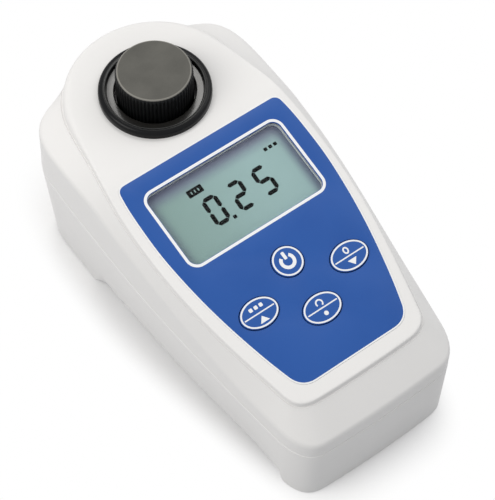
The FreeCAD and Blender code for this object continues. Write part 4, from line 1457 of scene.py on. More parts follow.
@dataclass(frozen=True)
class Keypad:
    """Four keys with their printed rings and signs.

    Bars and squares have a width, a depth and a corner radius. Rings have two insets from the
    key's outline, and arcs an outer and an inner radius.
    """

    panel: Panel = Panel()
    top: float = 0.65
    edge: float = 0.35
    flange_border: float = 1.5
    flange_top: float = -2.652
    flange_low: float = -3.652
    stem_radius: float = 1.7
    stem_end: float = -4.89
    edge_steps: int = 5
    ink: float = 0.025
    power_ring: Pair = (0.2, 0.76)
    power_arc: Pair = (2.75, 1.6)
    power_arc_deg: Pair = (130.0, 410.0)
    power_bar: Triple = (1.1, 2.7, 0.3)
    power_bar_rise: float = 2.1
    oval_ring: Pair = (0.2, 0.74)
    divider: Triple = (11.2, 0.42, 0.2)
    divider_drop: float = 0.05
    sign_rise: float = 2.0
    zero_sizes: Pairs = ((1.0, 1.25), (0.5, 0.72))
    arrow_half: float = 1.7
    down_arrow: Pair = (-1.35, -3.5)
    up_arrow: Pair = (-3.35, -1.2)
    square: Triple = (1.25, 1.25, 0.3)
    square_shifts: Triple = (-1.9, 0.0, 1.9)
    hook_arc: Pair = (1.35, 0.85)
    hook_arc_deg: Pair = (-60.0, 210.0)
    hook_rise: float = 1.75
    dot_radius: float = 0.75
    dot_drop: float = 2.1

    def build_key(self, spot: KeySpot) -> Piece:
        """One key: stem, flange, body and an eased top.

        Args:
            spot: the key's place and size.

        Returns:
            The key.
        """
        shell = Shell()
        body, flange = spot.loop(), spot.loop(self.flange_border)
        stem = ellipse(self.stem_radius, self.stem_radius, (spot.u, spot.v), len(body))
        crown = grown(body, -self.edge)
        place = self.panel.place
        shell.region([stem], lambda spots: place(spots, self.stem_end))
        stations = (
            (stem, self.stem_end),
            (stem, self.flange_low),
            (flange, self.flange_low),
            (flange, self.flange_top),
            (body, self.flange_top),
            (body, self.top - self.edge),
        )
        side = [place(loop, w) for loop, w in stations]
        corner, end = place(body, self.top), place(crown, self.top)
        eased = rounding(side[-1], corner, end, self.edge_steps)
        shell.grid([*side, *eased[1:]])
        shell.region([crown], lambda spots: place(spots, self.top))
        return shell.piece(f"{spot.body.value}_cap")

    def ring(self, spot: KeySpot, insets: Pair) -> list[Array]:
        """Loops of a printed ring that lies inside the key's outline by two insets."""
        return [spot.loop(-inset) for inset in insets]

    def arrow(self, spot: KeySpot, levels: Pair) -> list[Array]:
        """Loop of a triangle, with its base at the first level and its tip at the second.

        Args:
            spot: the key's place.
            levels: v of base and tip from the key's middle.

        Returns:
            The triangle as the only loop of a shape.
        """
        base, tip = levels
        corners = np.array([[-self.arrow_half, base], [self.arrow_half, base], [0.0, tip]])
        return [corners + [spot.u, spot.v]]

    def sector(
        self, centre: Sequence[float], radii: Pair, ends_deg: Pair, count: int = 48
    ) -> list[Array]:
        """Loop of a part of a ring between two angles.

        Args:
            centre: middle of the ring.
            radii: outer and inner radius.
            ends_deg: first and last angle from +u.
            count: points along each radius.

        Returns:
            One loop, out along the outer radius and back along the inner one.
        """
        t = np.radians(np.linspace(*ends_deg, count))
        ray = np.column_stack([np.cos(t), np.sin(t)])
        return [np.concatenate([radii[0] * ray, radii[1] * ray[::-1]]) + np.asarray(centre)]

    def signs(self, spot: KeySpot) -> list[list[Array]]:
        """Printed shapes of one key, each as an outer loop and holes.

        Args:
            spot: the key's place and size.

        Returns:
            The shapes' loops.
        """
        u, v = spot.u, spot.v
        if spot.body is Body.POWER:
            bar_spot = (u, v + self.power_bar_rise)
            bar = rounded_rectangle(*self.power_bar, bar_spot, per_corner=5)
            arc = self.sector((u, v), self.power_arc, self.power_arc_deg)
            return [self.ring(spot, self.power_ring), arc, [bar]]
        divider_spot = (u, v - self.divider_drop)
        divider = rounded_rectangle(*self.divider, divider_spot, per_corner=4)
        shapes = [self.ring(spot, self.oval_ring), [divider]]
        above = v + self.sign_rise
        if spot.body is Body.ZERO:
            shapes.append([ellipse(*size, (u, above), count=40) for size in self.zero_sizes])
            shapes.append(self.arrow(spot, self.down_arrow))
        elif spot.body is Body.MODE:
            for shift in self.square_shifts:
                spot_above = (u + shift, above)
                shapes.append([rounded_rectangle(*self.square, spot_above, per_corner=5)])
            shapes.append(self.arrow(spot, self.up_arrow))
        else:
            middle = (u, v + self.hook_rise)
            shapes.append(self.sector(middle, self.hook_arc, self.hook_arc_deg))
            radius, below = self.dot_radius, (u, v - self.dot_drop)
            shapes.append([ellipse(radius, radius, below, count=32)])
        return shapes

    def build_print(self, spot: KeySpot) -> Piece:
        """The white print on one key, as thin plates in its top."""
        low, high = self.top - self.ink, self.top + self.ink
        return plates(f"{spot.body.value}_print", self.panel, self.signs(spot), low, high)

    def dress(self) -> None:
        """Build and dress each key and its print."""
        for spot in KEY_SPOTS:
            dress(self.build_key(spot), KEY_BLUE, spot.body, "key_blue", spot.body.value)
            dress(self.build_print(spot), WHITE_INK, spot.body, "key_blue")


# The case


@dataclass(frozen=True)
class Case:
    """Upper and lower case, with the outline that both follow.

    A span is the range over which a form eases in: of y, or for the groove of the distance
    between the outlines of box and plateau.
    """

    panel: Panel = Panel()
    face: FrontFace = FrontFace()
    length: float = 154.0
    width: float = 80.0
    plateau_width: float = 71.2
    plateau_shift: float = -0.5
    drum_radius: float = 30.4
    drum_y: float = 46.6
    drum_meet_deg: float = 39.6
    drum_follow_deg: float = 80.0
    parting: float = 32.0
    parting_y: float = -30.0
    parting_slope: float = 0.08
    shoulder_drop: Pair = (7.0, 9.8)
    shoulder_round: float = 1.5
    waist_y: float = -40.0
    waist_reach: float = 30.0
    waist_swell: float = 0.8
    corner_swell: float = 0.6
    rear_draft: float = 0.35
    plateau_step: Pair = (1.3, 3.2)
    plateau_draft: float = 0.12
    rim_round: Pair = (0.75, 3.0)
    groove_width: float = 0.45
    groove_depth: float = 0.42
    wall: float = 2.4
    foot_inset: Pair = (2.1, 0.5)
    flank_swell: float = 0.2
    foot_round: float = 1.2
    foot_height: float = 2.4
    front_foot_y: float = -66.0
    front_foot_ramp: float = 2.4
    rear_foot_y: float = 33.0
    rear_foot_ramp: float = 8.0
    net_pitch: float = 0.7
    net_rows: int = 10
    net_gap: float = 0.35
    flank_tall: Pair = (4.8, 10.6)
    flank_inset: Pair = (2.8, 4.8)
    seam_step: float = 0.12
    seam_round: float = 0.4
    mouth_radius: float = 15.3
    floor_top: float = 4.4
    bay_half_width: float = 25.65
    bay_front: float = -30.2
    bay_rear: float = 16.0
    bay_lip: float = 2.2
    bay_top: float = 17.0
    bay_wall: float = 1.6
    screw_spots: Pairs = ((31.0, 55.5), (-31.0, 55.5), (22.0, -66.3), (-22.0, -66.3))
    screw_bore: float = 3.05
    screw_post: float = 3.9
    screw_seat: float = 18.0
    columns: tuple[int, ...] = (44, 26, 84, 44, 22)
    drum_columns: int = 40
    follow_points: int = 5
    soften_passes: int = 10
    round_steps: int = 8
    seam_steps: int = 4
    mouth_points: int = 160
    screw_points: int = 48
    bay_corner: float = 1.0
    crown_band: float = 0.6
    sole_band: float = 0.7
    ceiling_drop: float = 1.2
    seam_rows: Pair = (0.3, 0.7)
    groove_rows: Pairs = ((1.5, 0.0), (1.1, 0.6), (0.6, 1.0), (0.0, 1.0))
    groove_span: Pair = (0.6, 3.0)
    shift_span: Pair = (-36.0, -10.0)
    front_span: Pair = (-76.5, -64.0)
    corner_spans: Pairs = ((46.0, 58.0), (62.0, 72.0))
    draft_spans: Pairs = ((5.0, 30.0), (54.0, 64.0))
    flank_span: Pair = (-10.0, 20.0)
    foot_span: Pair = (-68.0, -50.0)
    drum_span: Pair = (30.0, 62.0)
    lift_span: Pair = (-40.0, 12.0)
    box_shares: Pairs = (
        (0.937, 0.675), (0.917, 0.838), (0.880, 0.950), (0.825, 0.995), (0.747, 1.0),
        (0.661, 0.995), (0.516, 0.972), (0.394, 0.930), (0.271, 0.875), (0.149, 0.825),
        (0.088, 0.798), (0.039, 0.755), (0.011, 0.662), (0.003, 0.5), (0.0, 0.0),
    )
    box_ends: tuple[int, ...] = (4, 6, 11, 14, 15)
    plateau_shares: Pairs = (
        (0.750, 0.905), (0.661, 0.966), (0.516, 1.0), (0.399, 0.975), (0.312, 0.925),
        (0.229, 0.857), (0.172, 0.803), (0.116, 0.748), (0.0905, 0.707), (0.075, 0.614),
        (0.070, 0.475), (0.0683, 0.0),
    )
    plateau_ends: tuple[int, ...] = (4, 6, 12, 15, 16)

    def drum(self, angles_deg: Array) -> Array:
        """Points of the drum's circle at angles from the rear."""
        t = np.radians(angles_deg)
        return np.column_stack(
            [self.drum_radius * np.sin(t), self.drum_y + self.drum_radius * np.cos(t)]
        )

    def spots(self, shares: Pairs, width: float) -> Array:
        """Plan points of shares: along the case from its front, and across its half width."""
        table = np.asarray(shares)
        return np.column_stack([table[:, 1] * width / 2, (table[:, 0] - 0.5) * self.length])

    def loop(self, points: Array, first: Array, ends: Sequence[int]) -> Array:
        """Whole outline from the points of its right half.

        Args:
            points: points from where the drum ends to the middle of the front.
            first: slope at the first point.
            ends: index of the point at which each run ends.

        Returns:
            The closed loop, clockwise from the middle of the rear, the same left and right.
        """
        arc = self.drum(np.linspace(0, self.drum_meet_deg, self.drum_columns, endpoint=False))
        rest = spline_runs(points, first, np.array([-1.0, 0.0]), ends, self.columns)
        half = np.concatenate([arc, rest])
        half[[0, -1], 0] = 0.0
        whole = np.concatenate([half, half[-2:0:-1] * [-1, 1]])
        return softened(whole, self.soften_passes)

    def loops(self) -> tuple[Array, Array, Array, Array]:
        """Outlines of the foot, of the parting, of the box at its shoulder and of the plateau.

        The walls of both halves draw in from the parting. The outlines of foot, parting and
        shoulder are the box outline grown by lengths that ease along y: a swell over the waist
        as a bell curve, a smaller swell at the rear corners, and a draft at the rear sides.

        Returns:
            Plan loops in that order, with a point for each column.
        """
        meet = self.drum(np.array([self.drum_meet_deg]))
        side = np.concatenate([meet, self.spots(self.box_shares, self.width)])
        box = self.loop(side, unit(side[1] - side[0]), self.box_ends)
        angles = np.linspace(self.drum_meet_deg, self.drum_follow_deg, self.follow_points)
        shares = self.spots(self.plateau_shares, self.plateau_width)
        rim = np.concatenate([self.drum(angles), shares])
        t = np.radians(self.drum_meet_deg)
        plateau = self.loop(rim, np.array([np.cos(t), -np.sin(t)]), self.plateau_ends)
        plateau[:, 0] += self.plateau_shift * smooth_step(-plateau[:, 1], *self.shift_span)
        y = box[:, 1]
        off_front = smooth_step(y, *self.front_span)
        swell = self.waist_swell * self.waist(y) * off_front
        corner = self.corner_swell * swell_between(y, *self.corner_spans)
        draft = self.rear_draft * swell_between(y, *self.draft_spans)
        flank = self.flank_swell * off_front * (1 - smooth_step(y, *self.flank_span))
        flank -= self.seam_step
        rear_foot, front_foot = self.foot_inset
        inset = front_foot + (rear_foot - front_foot) * smooth_step(y, *self.foot_span)
        foot = grown(box, corner - inset)
        return foot, grown(box, swell + flank + corner), grown(box, swell - draft), plateau

    def waist(self, y: Array) -> Array:
        """Bell curve along y, 1 at the waist."""
        return np.exp(-(((y - self.waist_y) / self.waist_reach) ** 2))

    def seam(self, y: Array) -> Array:
        """Height of the parting, which rises to the rear."""
        return self.parting + self.parting_slope * (y - self.parting_y)

    def shoulder(self, y: Array) -> Array:
        """Height of the shoulder's edge, which lies lowest under the top at the waist."""
        low, high = self.shoulder_drop
        return self.panel.height(y) - low - (high - low) * self.waist(y)

    def on_drum(self, y: Array) -> Array:
        """Ease from 0 on the panel to 1 at the rear of the drum."""
        return smooth_step(y, *self.drum_span)

    def ties(self, chosen: Array, count: int) -> Array:
        """Pairs of outline columns, right and left, at the chosen places.

        Args:
            chosen: which columns are wanted.
            count: columns of the whole outline.

        Returns:
            Index of the right and the left column of each pair.
        """
        right = np.flatnonzero(chosen[: count // 2])
        right = right[right > 0]
        return np.column_stack([right, count - right])

    def ramps(self) -> Pairs:
        """First and last y of the front foot's ramp and of the rear foot's."""
        front, rear = self.front_foot_y, self.rear_foot_y
        return (front, front + self.front_foot_ramp), (rear - self.rear_foot_ramp, rear)

    def relief(self, y: Array) -> Array:
        """Height of the underside at y: on the floor at both feet, and raised between them."""
        front, rear = self.ramps()
        return self.foot_height * (smooth_step(y, *front) - smooth_step(y, *rear))

    def on_top(self, plan: Array, drop: Array | float = 0.0) -> Array:
        """Plan points set on the top of the case, or under it by a drop."""
        return lifted(plan, self.panel.height(plan[:, 1]) - drop)

    def on_ground(self, plan: Array) -> Array:
        """Plan points set on the underside of the case."""
        return lifted(plan, self.relief(plan[:, 1]))

    def at_screws(self, radius: float) -> list[Array]:
        """Circles of a radius round the four case screws."""
        return [ellipse(radius, radius, spot, self.screw_points) for spot in self.screw_spots]

    def ramp_net(self, loop: Array, holes: Sequence[Array]) -> Array:
        """Plan points spread over both ramps of the underside, clear of the loops round them.

        Args:
            loop: outer loop of the underside.
            holes: loops of its bores.

        Returns:
            Points in rows across each ramp, with one row beyond either end of it.
        """
        reach = np.abs(loop[:, 0]).max()
        x = np.arange(-reach, reach, self.net_pitch)
        nets = []
        for low, high in self.ramps():
            step = (high - low) / self.net_rows
            y = np.linspace(low - step, high + step, self.net_rows + 3)
            nets.append(np.stack(np.meshgrid(x, y), axis=-1).reshape(-1, 2))
        net = np.concatenate(nets)
        kept = within(net, grown(loop, -self.net_gap))
        for hole in holes:
            kept &= ~within(net, grown(hole, self.net_gap))
        return net[kept]

    def build_upper(self) -> Piece:
        """Upper case: drafted wall, round shoulder, grooved plateau, openings and inner skin.

        Rows of the outer skin run from the parting up to the plateau's rim, with one column for
        each point of the outlines. The wall is ruled between the parting and the shoulder.

        Returns:
            The upper case.
        """
        _, seam, box, rim = self.loops()
        count, shell = len(box), Shell()
        into_box, into_rim = inward(box), inward(rim)
        low_z, level = self.seam(box[:, 1]), self.shoulder(box[:, 1])
        drum = self.on_drum(rim[:, 1])
        step = np.interp(drum, (0, 1), self.plateau_step)
        ease = np.interp(drum, (0, 1), self.rim_round)
        low, edge, base = lifted(seam, low_z), lifted(box, level), self.on_top(rim, step)
        climb, toward = unit(edge - low), unit(base - edge)
        shoulder = rounding(
            edge - climb * self.shoulder_round,
            edge,
            edge + toward * self.shoulder_round,
            self.round_steps,
        )
        apart = np.linalg.norm(rim - box, axis=1)
        deep = smooth_step(apart, *self.groove_span)[:, None] * [0, 0, self.groove_depth]
        groove = [
            base - toward * out * self.groove_width - deep * share
            for out, share in self.groove_rows
        ]
        drawn = rim + into_rim * self.plateau_draft
        crown = drawn + into_rim * ease[:, None]
        brink = rounding(
            self.on_top(drawn, ease), self.on_top(drawn), self.on_top(crown), self.round_steps
        )
        flat = crown + into_rim * self.crown_band
        low_in = low + np.pad(into_box * self.seam_step, ((0, 0), (0, 1)))
        wall = [low_in, *(low + climb * up for up in self.seam_rows)]
        shell.grid([*wall, *shoulder, *groove, *brink, self.on_top(flat)])

        face, place = self.face, self.panel.place
        recess = face.overlay_loop(face.edge_width + face.recess_gap)
        recess_plan = place(recess, 0.0)[:, :2]
        radius, centre = self.mouth_radius, (0.0, self.drum_y)
        mouth = ellipse(radius, radius, centre, self.mouth_points)
        ties = self.ties(self.panel.in_crease(flat[:, 1]), count)
        shell.region([flat, recess_plan, mouth], self.on_top, ties)
        floor, ledge = -face.recess_depth, -face.pane_seat
        shell.grid([self.on_top(recess_plan), place(recess, floor)])

        seat = face.window_loop(face.pane_border + face.pane_gap)
        window, keys = face.window_loop(), face.key_loops(face.key_gap)
        shell.region([recess, seat, *keys], lambda spots: place(spots, floor))
        under = -self.wall * np.cos(np.radians(self.panel.slope_deg))
        seat_rows = [place(seat, floor), place(seat, ledge)]
        shell.grid([*seat_rows, place(window, ledge), place(window, under)])
        for key in keys:
            shell.grid([place(key, floor), place(key, under)])
        shell.upright(mouth, self.panel.level, self.panel.level - self.wall)

        inner_rim = rim + into_rim * self.wall
        under_holes = [place(loop, under)[:, :2] for loop in (window, *keys)]
        shell.region(
            [inner_rim, *under_holes, mouth],
            lambda spots: self.on_top(spots, self.wall),
            self.ties(self.panel.in_crease(inner_rim[:, 1]), count),
        )
        inner_box = lifted(box + into_box * self.wall, level - self.ceiling_drop)
        inner_low = lifted(seam + into_box * self.wall, low_z)
        shell.grid([self.on_top(inner_rim, self.wall), inner_box, inner_low, low_in])
        return shell.piece("upper_case_shell")

    def build_lower(self) -> Piece:
        """Lower case: drafted wall down to two feet, battery bay, screw wells and inner skin.

        Between the feet the wall's lower edge is a tall, deep rounding, so that the flanks lift
        off the table.

        Returns:
            The lower case.
        """
        foot, waist, _, _ = self.loops()
        into, count = inward(foot), len(foot)
        y = foot[:, 1]
        seam_z = self.seam(waist[:, 1])
        shell = Shell()

        def skin(z: Array | float) -> Array:
            """Row of the ruled wall at a height, stepped out a little towards the parting."""
            share = (np.broadcast_to(z, count) / seam_z)[:, None]
            return foot + (waist - foot - into * self.seam_step) * share

        seam = skin(seam_z)
        seam_low = lifted(skin(seam_z - self.seam_round), seam_z - self.seam_round)
        lip = lifted(seam + into * self.seam_round, seam_z)
        ground = self.relief(y)
        lift, rear = ground / self.foot_height, smooth_step(y, *self.lift_span)
        tall = self.foot_round + lift * np.interp(rear, (0, 1), self.flank_tall)
        inset = self.foot_round + lift * np.interp(rear, (0, 1), self.flank_inset)
        start = ground + tall
        sole = skin(ground) + into * inset[:, None]
        bottom = rounding(
            lifted(skin(start), start),
            lifted(skin(ground), ground),
            self.on_ground(sole),
            self.round_steps,
        )
        flat = sole + into * self.sole_band
        lips = rounding(lip, lifted(seam, seam_z), seam_low, self.seam_steps)
        shell.grid([*lips, *bottom, self.on_ground(flat)])

        bay_y = (self.bay_front + self.bay_rear) / 2
        width, depth = 2 * self.bay_half_width, self.bay_rear - self.bay_front
        bay = rounded_rectangle(width, depth, self.bay_corner, (0.0, bay_y), per_corner=8)
        opening = rounded_rectangle(
            width,
            depth - self.bay_lip,
            self.bay_corner,
            (0.0, bay_y + self.bay_lip / 2),
            per_corner=8,
        )
        bores, posts = self.at_screws(self.screw_bore), self.at_screws(self.screw_post)
        shell.region([flat, opening, *bores], self.on_ground, net=self.ramp_net(flat, bores))
        shell.grid(
            [
                lifted(opening, self.foot_height),
                lifted(opening, self.floor_top),
                lifted(bay, self.floor_top),
                lifted(bay, self.bay_top),
            ]
        )
        shell.level([bay], self.bay_top)
        post_top = self.screw_seat + self.floor_top
        for bore, post in zip(bores, posts):
            shell.grid([self.on_ground(bore), lifted(bore, self.screw_seat)])
            shell.level([bore], self.screw_seat)
            shell.upright(post, self.floor_top, post_top)
            shell.level([post], post_top)

        tub = grown(bay, self.bay_wall)
        tub_top = self.bay_top + self.bay_wall
        inner = skin(self.floor_top) + into * (self.wall + inset - self.foot_round)[:, None]
        shell.level([inner, tub, *posts], self.floor_top)
        shell.upright(tub, self.floor_top, tub_top)
        shell.level([tub], tub_top)
        inner_lip = lifted(seam + into * self.wall, seam_z)
        shell.grid([lifted(inner, self.floor_top), inner_lip, lip])
        return shell.piece("lower_case_shell")

    def dress(self) -> None:
        """Build and dress both halves."""
        dress(self.build_upper(), CASE_WHITE, Body.CASE, "case_plastic", "upper_case")
        dress(self.build_lower(), CASE_WHITE, Body.CASE, "case_plastic", "lower_case")


@dataclass(frozen=True)
class BatteryDoor:
    """Door under the case, with hooks at its front edge and a grip hollow behind its middle."""

    half_width: float = 25.25
    front: float = -27.6
    rear: float = 15.6
    low: float = 2.4
    high: float = 4.4
    corner: float = 1.4
    edge: float = 0.45
    hook_spots: Pair = (-15.0, 15.0)
    hook_width: float = 8.0
    hook_reach: float = 1.8
    hook_low: float = 4.7
    hook_high: float = 5.9
    hook_blunt: float = 0.25
    hook_overlap: float = 0.2
    hook_corners: Pair = (0.3, 0.4)
    grip_y: float = 1.6
    grip_radius: float = 7.0
    grip_depth: float = 0.7
    grip_rings: int = 40
    grip_points: int = 96
    rib_pitch: float = 1.9
    rib_height: float = 0.35
    rib_fade: float = 0.4
    edge_steps: int = 4

    def underside(self, plan: Array) -> Array:
        """Level of the door's lower face: flat, with a dished grip that carries low ribs.

        The dish is depth (1 - r^2) inside the unit circle of the grip, and the ribs are a
        cosine along y that fades out with the dish.

        Args:
            plan: points (x, y) of the door.

        Returns:
            The level at each point.
        """
        x, y = (plan - [0.0, self.grip_y]).T
        dish = np.clip(1 - (x**2 + y**2) / self.grip_radius**2, 0, 1)
        ribs = 0.5 + 0.5 * np.cos(2 * np.pi * y / self.rib_pitch)
        relief = self.rib_height * ribs * smooth_step(dish, 0, self.rib_fade)
        return self.low + self.grip_depth * dish - relief

    def build(self) -> Piece:
        """Plate with an eased edge, a dished grip on a polar grid, and two hooks.

        Returns:
            The door.
        """
        shell = Shell()
        centre = (0.0, (self.front + self.rear) / 2)
        size = (2 * self.half_width, self.rear - self.front)
        outer = rounded_rectangle(*size, self.corner, centre, per_corner=10)
        inner = grown(outer, -self.edge)
        edge = rounding(
            lifted(outer, self.low + self.edge),
            lifted(outer, self.low),
            lifted(inner, self.low),
            self.edge_steps,
        )
        shell.grid([lifted(outer, self.high), *edge])
        shell.level([outer], self.high)
        radii = np.linspace(self.grip_radius, 0.0, self.grip_rings)
        rings = [ellipse(r, r, (0.0, self.grip_y), self.grip_points) for r in radii]
        shell.level([inner, rings[0]], self.low)
        shell.grid([lifted(ring, self.underside(ring)) for ring in rings])
        for x in self.hook_spots:
            self.add_hook(shell, x)
        return shell.piece("battery_door_shell")

    def add_hook(self, shell: Shell, x: float) -> None:
        """One hook: a foot on the plate and a tongue that reaches past the front edge.

        Args:
            shell: patches of the door.
            x: middle of the hook.
        """
        width, reach = self.hook_width, self.hook_reach
        foot_corner, tongue_corner = self.hook_corners
        middle, front = (x, self.front + reach / 2), (x, self.front)
        foot = rounded_rectangle(width, reach, foot_corner, middle, per_corner=5)
        tongue = rounded_rectangle(width, 2 * reach, tongue_corner, front, per_corner=5)
        blunt = grown(tongue, -self.hook_blunt)
        low, high = self.high - self.hook_overlap, self.hook_low + self.hook_overlap
        shell.upright(foot, low, high)
        shell.level([foot], low)
        shell.level([foot], high)
        top = rounding(
            lifted(tongue, self.hook_high - self.hook_blunt),
            lifted(tongue, self.hook_high),
            lifted(blunt, self.hook_high),
            EDGE_STEPS,
        )
        shell.grid([lifted(tongue, self.hook_low), *top])
        shell.level([tongue], self.hook_low)
        shell.level([blunt], self.hook_high)

    def dress(self) -> None:
        """Build and dress the door."""
        dress(self.build(), DOOR_WHITE, Body.DOOR, "case_plastic", "battery_door")


# The vial well


@dataclass(frozen=True)
class VialWell:
    """Collar round the well, the glass vial and its knurled cap."""

    centre: Pair = (0.0, 46.6)
    collar_radius: float = 18.6
    collar_bore: float = 13.3
    collar_skirt: float = 15.2
    collar_low: float = 60.6
    collar_base: float = 63.0
    crest_height: float = 2.9
    crest_inner: float = 16.2
    land_height: float = 1.3
    groove_width: float = 0.35
    groove_depth: float = 0.28
    collar_points: int = 192
    cap_radius: float = 12.65
    cap_face: float = 11.85
    cap_bore: float = 11.1
    cap_low: float = 59.2
    cap_top: float = 74.8
    cap_bevel: float = 1.0
    cap_ceiling: float = 73.0
    rib_count: int = 64
    rib_depth: float = 0.45
    rib_power: float = 1.6
    per_rib: int = 10
    cap_sharp_deg: float = 40.0
    vial_radius: float = 12.0
    vial_wall: float = 1.2
    vial_low: float = 13.9
    vial_shoulder: Pair = (57.0, 59.0)
    neck_radius: float = 9.9
    neck_wall: float = 1.3
    vial_top: float = 71.5
    vial_points: int = 128
    thread_low: float = 61.6
    thread_rise: float = 6.0
    thread_pitch: float = 4.0
    thread_depth: float = 0.85
    thread_width: float = 1.5
    thread_fade: float = 0.5
    thread_sink: float = 0.3
    thread_points: int = 160
    thread_form: Pairs = ((-0.5, -0.2), (-0.25, 1.0), (0.25, 1.0), (0.5, -0.2), (0.0, -0.5))

    def build_collar(self) -> Piece:
        """Turned collar: skirt in the mouth, rounded crest, a fine groove and a lower land.

        Returns:
            The collar.
        """
        crest, land = self.collar_base + self.crest_height, self.collar_base + self.land_height
        groove = land - self.groove_depth
        # Radius, height and rounding of each corner
        corners = [
            (self.collar_bore, self.collar_low, 0.0),
            (self.collar_skirt, self.collar_low, 0.2),
            (self.collar_skirt, self.collar_base, 0.0),
            (self.collar_radius, self.collar_base, 0.15),
            (self.collar_radius, crest, 1.6),
            (self.crest_inner, crest, 0.7),
            (self.crest_inner, groove, 0.0),
            (self.crest_inner - self.groove_width, groove, 0.0),
            (self.crest_inner - self.groove_width - 0.05, land, 0.12),
            (self.collar_bore, land, 0.45),
        ]
        profile = eased_profile(corners, steps=6)
        shell = Shell()
        closed = np.concatenate([profile, profile[:1]])
        shell.grid(turned(closed, self.centre, self.collar_points))
        return shell.piece("well_collar_ring")

    def build_cap(self) -> Piece:
        """Knurled cap: each row's radius is its profile less ribs of raised cosine form.

        The ribs' share is full on the side and fades to nothing on the bevel and at the lower
        edge.

        Returns:
            The cap.
        """
        count = self.rib_count * self.per_rib
        bore, side, face = self.cap_bore, self.cap_radius, self.cap_face
        low, high, ceiling = self.cap_low, self.cap_top, self.cap_ceiling
        bevel = high - self.cap_bevel
        # Radius, height and share of the ribs of each row, from the inside out
        table = np.array(
            [
                (0.0, ceiling, 0), (bore - 0.6, ceiling, 0), (bore, ceiling - 0.6, 0),
                (bore, low + 0.3, 0), (bore + 0.3, low, 0), (side - 0.55, low, 0),
                (side - 0.12, low + 0.15, 0.6), (side, low + 0.6, 1), (side, bevel - 0.7, 1),
                (side, bevel - 0.25, 1), (side - 0.1, bevel + 0.05, 0.75),
                (side - 0.3, bevel + 0.32, 0.35), (side - 0.5, bevel + 0.58, 0.1),
                (face + 0.14, high - 0.16, 0), (face + 0.03, high - 0.05, 0),
                (face - 0.12, high, 0), (face - 0.5, high, 0), (0.0, high, 0),
            ]
        )
        t = np.arange(count) * 2 * np.pi / count
        groove = (0.5 - 0.5 * np.cos(self.rib_count * t)) ** self.rib_power
        radius = table[:, :1] - self.rib_depth * table[:, 2:] * groove
        shell = Shell()
        shell.grid(about_axis(self.centre, radius, t, table[:, 1:2]))
        return shell.piece("vial_cap_knurled", self.cap_sharp_deg)

    def build_vial(self) -> Piece:
        """Turned vial with a drawn-in neck and a thread ridge wound round it.

        Returns:
            The vial.
        """
        low, high = self.vial_shoulder
        bore, neck_bore = self.vial_radius - self.vial_wall, self.neck_radius - self.neck_wall
        # Radius, height and rounding of each corner
        corners = [
            (0.0, self.vial_low + 0.5, 0.0),
            (self.vial_radius - 4.0, self.vial_low + 0.5, 1.0),
            (self.vial_radius - 3.0, self.vial_low, 0.5),
            (self.vial_radius, self.vial_low, 1.6),
            (self.vial_radius, low, 1.2),
            (self.neck_radius, high, 0.8),
            (self.neck_radius, self.vial_top, 0.5),
            (neck_bore, self.vial_top, 0.5),
            (neck_bore, high + 0.2, 0.9),
            (bore, low - 0.8, 1.0),
            (bore, self.vial_low + 1.9, 1.6),
            (0.0, self.vial_low + 1.9, 0.0),
        ]
        shell = Shell()
        profile = eased_profile(corners, steps=5)
        shell.grid(turned(profile, self.centre, self.vial_points))
        turns = self.thread_rise / self.thread_pitch
        t = np.linspace(0, 2 * np.pi * turns, self.thread_points)
        fade = smooth_step(np.minimum(t, t[-1] - t), 0, self.thread_fade)
        across, out = np.array(self.thread_form).T[:, :, None]
        depth = out * fade - (1 - fade) * self.thread_sink
        radius = self.neck_radius + self.thread_depth * depth
        height = self.thread_low + self.thread_pitch * t / (2 * np.pi)
        rows = about_axis(self.centre, radius, t, height + self.thread_width * across)
        shell.grid(np.concatenate([rows, rows[:1]]), ring=False)
        for end in (0, -1):
            middle = rows[:, end].mean(axis=0)
            shell.grid([rows[:, end], np.broadcast_to(middle, (len(across), 3))])
        return shell.piece("vial_glass_body")

    def cap_finish(self) -> KnurledCap:
        """Finish of the cap, placed on its axis and top."""
        return KnurledCap(
            "cap_black_turned",
            tint(11, 12, 13),
            # Grey of the top: dust with a painted sheen
            tint(99, 98, 93),
            # Painted highlight round the top's rim
            tint(138, 136, 130),
            self.centre[1],
            self.cap_top,
            self.cap_face,
        )

    def collar_finish(self) -> TurnedCollar:
        """Finish of the collar, placed on its axis and crest."""
        return TurnedCollar(
            "collar_black_turned",
            tint(13, 14, 16),
            tint(34, 33, 31),
            # Light grey of the painted highlight along the crest's inner edge
            tint(120, 121, 120),
            self.centre[1],
            self.crest_inner,
        )

    def dress(self) -> None:
        """Build and dress the collar, the cap and the vial."""
        collar = self.build_collar()
        dress(collar, self.collar_finish(), Body.CASE, "black_plastic", "well_collar")
        dress(self.build_cap(), self.cap_finish(), Body.CAP, "cap_plastic", "vial_cap")
        dress(self.build_vial(), GLASS, Body.VIAL, "vial_glass", "vial")


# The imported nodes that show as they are


def dress_packed_nodes() -> None:
    """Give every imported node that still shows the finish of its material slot."""
    face = FrontFace()
    window = face.panel.place(face.window_loop(), 0.0)
    display = DisplayGlass(
        "display_grey_green",
        tint(173, 197, 197),
        tint(147, 170, 164),
        # Purple grey of the painted shadow along the display's rear and side edges
        tint(112, 107, 140),
        face.window_width / 2,
        float(window[:, 1].max()),
    )
    finishes = {**SLOT_FINISHES, "display_glass": display, "cap_plastic": BLACK_PLASTIC}
    for name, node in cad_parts.items():
        for slot in node.material_slots:
            slot.material = finishes[slot.material.name.split(".")[0]].material()
        LOG.info("%s: packed node dressed", name)


# Floor, light and camera


